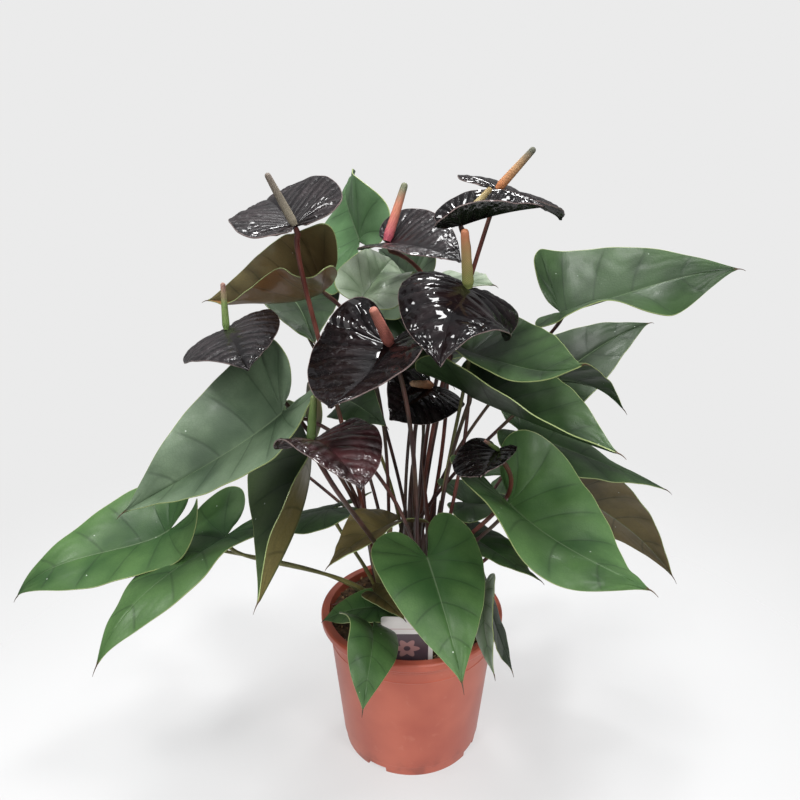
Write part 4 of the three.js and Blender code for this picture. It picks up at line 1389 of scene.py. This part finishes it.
SHEATHS = (
    Sheath(Crown.LEFT, 176, 52, 76),
    Sheath(Crown.LEFT, 110, 66, 22),
    Sheath(Crown.LEFT, 235, 92, 14, skin=Skin.OLIVE),
    Sheath(Crown.LEFT, 330, 128, 5, 6.5, Skin.MAROON),
    Sheath(Crown.FRONT, 262, 84, 10, 7, Skin.MAROON),
    Sheath(Crown.FRONT, 200, 128, 2, 9, Skin.MAROON),
    Sheath(Crown.FRONT, 175, 96, 6, 9, Skin.MAROON),
    Sheath(Crown.FRONT, 10, 150, 4, 8, Skin.MAROON),
    Sheath(Crown.FRONT, 300, 116, 2, 9, Skin.MAROON),
    Sheath(Crown.RIGHT, 352, 84, 20),
    Sheath(Crown.RIGHT, 40, 60, 32),
    Sheath(Crown.RIGHT, 195, 168, 4, 6.5),
    Sheath(Crown.RIGHT, 262, 132, 3, 7, Skin.MAROON),
    Sheath(Crown.BACK, 88, 80, 16),
    Sheath(Crown.BACK, 150, 58, 30),
    Sheath(Crown.BACK, 262, 160, 5, 6.5, Skin.MAROON),
)


@dataclass
class Foliage:
    """All the leaves."""

    sheets: list[Sheet]
    pitch: float = 3.2

    def build(self) -> None:
        """Model and dress every leaf."""
        faces, backs = materials(LEAF_FACES), materials(LEAF_BACKS)
        edge = Edge("leaf_edge", MARGIN_LIGHT).material()
        thread = Edge("leaf_thread", TIP_BROWN).material()
        for i, sheet in enumerate(self.sheets, start=1):
            leaf = sheet.blade
            piece = sheet.piece(f"green_leaf_{i:02d}", BLADE_THICKNESS, self.pitch)
            dress(piece, faces[leaf.face], backs[leaf.back], edge)
            tail = sheet.tail("tail")
            dress(tail, thread)
            piece = joined([piece, tail], piece.name)
            slot = "young_leaf" if leaf.face is Face.YOUNG else "leaf"
            place_piece(piece, 45, slot, f"leaf_{i:02d}")


@dataclass
class Blooms:
    """All the spathes, each with its spadix."""

    sheets: list[Sheet]
    pitch: float = 1.7

    def build(self) -> None:
        """Model and dress every spathe and spadix."""
        faces = materials(SPATHE_FACES)
        back = SpatheBack("spathe_back", "#2a1c20", "#4c3d40").material()
        # The rim faces take the pale edge, partly a painted highlight
        edge = Edge("spathe_edge_highlight", SPATHE_EDGE_HIGHLIGHT).material()
        berries = materials(BERRIES)
        for i, sheet in enumerate(self.sheets, start=1):
            bloom = sheet.blade
            piece = sheet.piece(f"dark_spathe_{i:02d}", SPATHE_THICKNESS, self.pitch)
            dress(piece, faces[bloom.tone], back, edge)
            place_piece(piece, 45, "spathe", f"spathe_{i:02d}")
            spike = Spadix(sheet).piece(f"flower_spike_{i:02d}")
            dress(spike, berries[bloom.berry])
            place_piece(spike, 80, "spadix", f"spadix_{i:02d}")


@dataclass
class Stems:
    """The stalks of all blades, bunched on their four crowns."""

    leaves: list[Sheet]
    blooms: list[Sheet]

    def knob(self, crown: Crown, material: bpy.types.Material) -> bpy.types.Object:
        """The low brown crown that a bunch rises from."""
        foot, top = SOIL_LEVEL - 16, SOIL_LEVEL + 4
        profile = [(11, foot), (CROWN_RADIUS, foot + 9), (CROWN_RADIUS - 1, SOIL_LEVEL), (8, top)]
        piece = turned("knob", profile, 24, crown.value)
        apply_modifier(piece, "BEVEL", width=1.5 * MM, segments=2)
        dress(piece, material)
        return piece

    def build(self) -> None:
        """Model and dress the stalks of each crown as one piece."""
        skins, bark = materials(SKINS), BARK.material()
        stalks = [(sheet, PETIOLE_RADIUS, BLADE_THICKNESS) for sheet in self.leaves]
        stalks += [(sheet, PEDUNCLE_RADIUS, SPATHE_THICKNESS) for sheet in self.blooms]
        for crown in Crown:
            mine = [stalk for stalk in stalks if stalk[0].blade.crown is crown]
            pieces = [self.knob(crown, bark)]
            for order, (sheet, radius, thickness) in enumerate(mine):
                stalk = Stalk(sheet, order, len(mine), radius, thickness)
                pieces.append(stalk.piece(f"stalk_{order}", skins[sheet.blade.skin]))
            for order, sheath in enumerate(SHEATHS):
                if sheath.crown is crown:
                    pieces.append(sheath.piece(f"sheath_{order}", skins[sheath.skin]))
            side = crown.name.lower()
            place_piece(joined(pieces, f"stems_{side}"), 60, "stalk", f"stalks_{side}")


@dataclass
class NurseryPot:
    """The tapered plastic pot with its rolled lip, raised ring and stepped, notched foot."""

    sides: int = 144
    ring_proud: float = 0.8
    rounding: float = 0.5

    CHANNEL = BASE_RADIUS - 8
    NOTCH = 20.0

    @staticmethod
    def wall_radius(height: float) -> float:
        """The outside radius of the wall."""
        return BASE_RADIUS + (NECK_RADIUS - BASE_RADIUS) * height / POT_HEIGHT

    def shell(self) -> bpy.types.Object:
        """Turn the profile of the pot."""
        wall = self.wall_radius
        lip, ring = POT_HEIGHT - LIP_HEIGHT, POT_HEIGHT - RING_DROP
        profile = [
            (SEAT_RADIUS, 0), (SEAT_RADIUS + 4, CHANNEL_HEIGHT),
            (self.CHANNEL, CHANNEL_HEIGHT), (self.CHANNEL + 3, 0), (BASE_RADIUS - 1, 0),
            (wall(FOOT_HEIGHT) - FOOT_STEP, FOOT_HEIGHT), (wall(FOOT_HEIGHT), FOOT_HEIGHT + 0.4),
            (wall(ring), ring), (wall(ring) + self.ring_proud, ring + 1), (wall(ring + 2), ring + 2),
            (wall(lip - 7), lip - 7), (wall(lip - 6) + 0.5, lip - 6), (wall(lip), lip),
            (RIM_RADIUS - 1, lip), (RIM_RADIUS, lip + 1.5),
            (RIM_RADIUS, POT_HEIGHT - 1.5), (RIM_RADIUS - 1.5, POT_HEIGHT),
            (wall(POT_HEIGHT) - WALL, POT_HEIGHT), (wall(FLOOR_HEIGHT) - WALL, FLOOR_HEIGHT),
        ]
        pot = turned("nursery_pot", profile, self.sides)
        edges = {"limit_method": "ANGLE", "angle_limit": math.radians(20)}
        apply_modifier(pot, "BEVEL", width=self.rounding * MM, segments=3, **edges)
        return pot

    @staticmethod
    def spots(count: int, reach: float) -> Iterator[tuple[float, Triple]]:
        """The angle and the place of each of the cuts in a ring round the pot's axis."""
        for i in range(count):
            angle = math.radians(FIRST_GAP_ANGLE + i * 360 / count)
            yield angle, (reach * math.cos(angle) * MM, reach * math.sin(angle) * MM, 0)

    def cutter(self) -> bpy.types.Object:
        """The drain holes and foot notches as one solid."""
        tools = []
        for _, place in self.spots(DRAIN_COUNT, DRAIN_RING_RADIUS):
            deselect()
            size = {"radius": DRAIN_RADIUS * MM, "depth": 4 * FLOOR_HEIGHT * MM}
            bpy.ops.mesh.primitive_cylinder_add(vertices=24, location=place, **size)
            tools.append(bpy.context.object)
        gap = 2 * BASE_RADIUS * math.sin(math.radians(FOOT_GAP_ANGLE / 2))
        scale = (self.NOTCH * MM, gap * MM, 2 * CHANNEL_HEIGHT * MM)
        for angle, place in self.spots(FOOT_COUNT, self.CHANNEL + self.NOTCH / 2):
            deselect()
            bpy.ops.mesh.primitive_cube_add(size=1, location=place, rotation=(0, 0, angle), scale=scale)
            tools.append(bpy.context.object)
        return joined(tools, "cutter")

    def build(self) -> None:
        """Model the pot, cut its drain holes and foot notches, and dress it."""
        pot, cutter = self.shell(), self.cutter()
        apply_modifier(pot, "BOOLEAN", object=cutter, operation="DIFFERENCE", solver="EXACT")
        bpy.data.objects.remove(cutter)
        dress(pot, PLASTIC.material())
        place_piece(pot, 35, "pot", "pot")


@dataclass
class Soil:
    """The peat in the pot, with crumbs on top."""

    rings: int = 46
    sides: int = 96
    crumbs: int = 520
    spread: float = 76.0

    HEAP = (54, 71)  # the radii between which the peat rises towards the wall
    LUMPS = (1.5, 0.9)  # the heights of the broad and the small lumps
    CLOSENESS = (0.075, 3.1)  # broad lumps to the millimetre, and how much closer the small ones lie
    SIZES = (0.9, 1.2, 1.5, 2.2)

    def level(self, x: float, y: float) -> float:
        """The height of the peat at a place."""
        base = SOIL_LEVEL + SOIL_HEAP * float(smooth(np.array(math.hypot(x, y)), *self.HEAP))
        (broad, small), (wave, closer) = self.LUMPS, self.CLOSENESS
        here = Vector((x, y, 0.0)) * wave
        return base + noise.noise(here) * broad + noise.noise(here * closer) * small

    def bed(self) -> bpy.types.Object:
        """Model the peat as a plug with a lumpy top."""
        top = NurseryPot.wall_radius(SOIL_LEVEL + SOIL_HEAP) - WALL - CLEARANCE
        bottom = NurseryPot.wall_radius(FLOOR_HEIGHT) - WALL - CLEARANCE - 1
        radii = np.linspace(top - 0.4, 1, self.rings)
        profile = [(bottom, FLOOR_HEIGHT + CLEARANCE), *((radius, SOIL_LEVEL) for radius in radii)]
        bed = turned("peat_bed", profile, self.sides)
        for vertex in bed.data.vertices:
            if vertex.co.z > 0.5 * SOIL_LEVEL * MM:
                vertex.co.z = self.level(vertex.co.x / MM, vertex.co.y / MM) * MM
        return bed

    def crumb(self, draw: random.Random) -> bpy.types.Object:
        """Model one crumb, lying on the peat."""
        while True:
            x, y = (draw.uniform(-self.spread - 1, self.spread + 1) for _ in range(2))
            if math.hypot(x, y) < self.spread:
                break
        size = draw.choice(self.SIZES)
        deselect()
        bpy.ops.mesh.primitive_ico_sphere_add(subdivisions=1, radius=size * MM)
        piece = bpy.context.object
        turn = Quaternion([draw.gauss(0, 1) for _ in range(4)])
        turn.normalize()
        stretch = Vector((1, draw.uniform(0.5, 1), draw.uniform(0.4, 0.9)))
        centre = Vector((x, y, self.level(x, y) + 0.3 * size)) * MM
        for vertex in piece.data.vertices:
            rough = draw.uniform(0.8, 1.2)
            vertex.co = turn @ Vector([a * b * rough for a, b in zip(vertex.co, stretch)]) + centre
        return piece

    def build(self) -> None:
        """Model and dress the peat and its crumbs."""
        bed = self.bed()
        dress(bed, PEAT.material())
        place_piece(bed, 80, "soil", "soil")
        draw = random.Random(SEED)
        kinds = [crumb.material() for crumb in CRUMBS]
        pieces = []
        for _ in range(self.crumbs):
            piece = self.crumb(draw)
            dress(piece, draw.choice(kinds))
            pieces.append(piece)
        place_piece(joined(pieces, "peat_crumbs"), None, "soil")


def stand(name: str, data: bpy.types.ID, place: Vector, turn: Euler) -> bpy.types.Object:
    """Put a lamp or a camera into the scene."""
    made = bpy.data.objects.new(name, data)
    made.location, made.rotation_euler = place, turn
    bpy.context.scene.collection.objects.link(made)
    return made


@dataclass(frozen=True)
class Lamp:
    """A square soft light that points at the middle of the plant, with its place in metres."""

    name: str
    place: Triple
    size: float
    power: float

    AIM = (0.0, 0.0, 0.3)

    def hang(self) -> None:
        """Add the lamp."""
        data = bpy.data.lights.new(self.name, "AREA")
        data.size, data.energy = self.size, self.power
        way = Vector(self.AIM) - Vector(self.place)
        stand(self.name, data, Vector(self.place), way.to_track_quat("-Z", "Y").to_euler())


LAMPS = (
    Lamp("left_light", (-0.9, -0.2, 1.4), 0.3, 8),
    Lamp("back_light", (0.1, 0.7, 1.6), 0.25, 9),
    Lamp("top_light", (0.0, 0.0, 1.9), 0.35, 13),
    Lamp("left_spark", (-0.55, -1.0, 1.6), 0.16, 5),
    Lamp("right_spark", (0.5, 0.45, 1.7), 0.16, 5),
    Lamp("right_light", (0.7, -1.0, 1.3), 0.4, 9),
    Lamp("front_light", (-0.2, -1.6, 1.1), 1.5, 12),
)


@dataclass(frozen=True)
class Studio:
    """A pale floor that fades out, soft lights and the photograph's camera, in metres."""

    backdrop: float = 0.83
    floor_radius: float = 1.6
    floor_fade: Pair = (0.2, 0.8)
    paint: float = 0.3
    glow: float = 0.52
    bright_side: Triple = (0.0, -0.2, 0.98)
    dim: Colour = (0.25, 0.25, 0.25, 1.0)
    middling: Colour = (0.28, 0.28, 0.29, 1.0)
    bright: Colour = (0.48, 0.5, 0.53, 1.0)
    strength: float = 0.9

    def floor(self) -> None:
        """Lay a round floor that is clear at its edge, so that no horizon shows."""
        deselect()
        bpy.ops.mesh.primitive_circle_add(vertices=96, radius=self.floor_radius, fill_type="NGON")
        floor = bpy.context.object
        floor.name = floor.data.name = "floor"
        s = Shader(bpy.data.materials.new("floor_paint"))
        far = s.node("ShaderNodeVectorMath", {"operation": "LENGTH"}, {0: s.place()}, "Value")
        matt = s.node("ShaderNodeBsdfDiffuse", inputs={"Color": (*(self.paint,) * 3, 1.0)})
        glow = s.node("ShaderNodeEmission", inputs={"Strength": self.glow})
        grey = s.node("ShaderNodeAddShader", inputs={0: matt, 1: glow})
        clear = s.node("ShaderNodeBsdfTransparent")
        fade = far.step(*self.floor_fade)
        mixed = s.node("ShaderNodeMixShader", inputs={0: fade, 1: grey, 2: clear})
        s.close("ShaderNodeOutputMaterial", mixed)
        dress(floor, s.owner)

    def sky(self) -> None:
        """Surround the plant with soft light, and show the camera an even pale grey."""
        bpy.context.scene.world = bpy.data.worlds.new("studio")
        s = Shader(bpy.context.scene.world)
        settings = {"operation": "DOT_PRODUCT"}
        way = s.node("ShaderNodeTexCoord", output="Generated")
        toward = s.node("ShaderNodeVectorMath", settings, {0: way, 1: self.bright_side}, "Value")
        colour = s.ramp(toward, (0.0, self.dim), (0.35, self.middling), (1.0, self.bright))
        light = s.node("ShaderNodeBackground", inputs={"Color": colour, "Strength": self.strength})
        grey = (*(self.backdrop,) * 3, 1.0)
        seen = s.node("ShaderNodeBackground", inputs={"Color": grey, "Strength": 1.0})
        is_seen = s.node("ShaderNodeLightPath", output="Is Camera Ray")
        mixed = s.node("ShaderNodeMixShader", inputs={0: is_seen, 1: light, 2: seen})
        s.close("ShaderNodeOutputWorld", mixed)

    def camera(self) -> None:
        """Stand the camera where the photograph was taken from."""
        data = bpy.data.cameras.new("camera")
        data.lens = CAMERA_LENS_MM
        turn = Euler((math.radians(90 - CAMERA_PITCH), 0, 0))
        bpy.context.scene.camera = stand("camera", data, Vector(CAMERA_PLACE) * MM, turn)

    def build(self) -> None:
        """Set up the floor, the light and the camera."""
        bpy.context.scene.view_settings.view_transform = "Standard"
        self.floor()
        self.sky()
        for lamp in LAMPS:
            lamp.hang()
        self.camera()


def corners(bounds: Iterable[Vector]) -> list[list[float]]:
    """Two corners as plain lists."""
    return [list(corner) for corner in bounds]


def main() -> None:
    """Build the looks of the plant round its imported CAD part."""
    logging.basicConfig(level=logging.INFO, format="%(message)s")
    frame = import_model()
    Studio().build()
    NurseryPot().build()
    Soil().build()
    leaves = sheets_of(LEAVES, LEAF_OUTLINE, LEAF_RELIEF, SEED)
    blooms = sheets_of(BLOOMS, SPATHE_OUTLINE, SPATHE_RELIEF, SEED + 100)
    for group in (Foliage(leaves), Blooms(blooms), Stems(leaves, blooms)):
        group.build()
    dress(frame["nodes"]["care_label"], CARD.material())


if __name__ == "__main__":
    main()
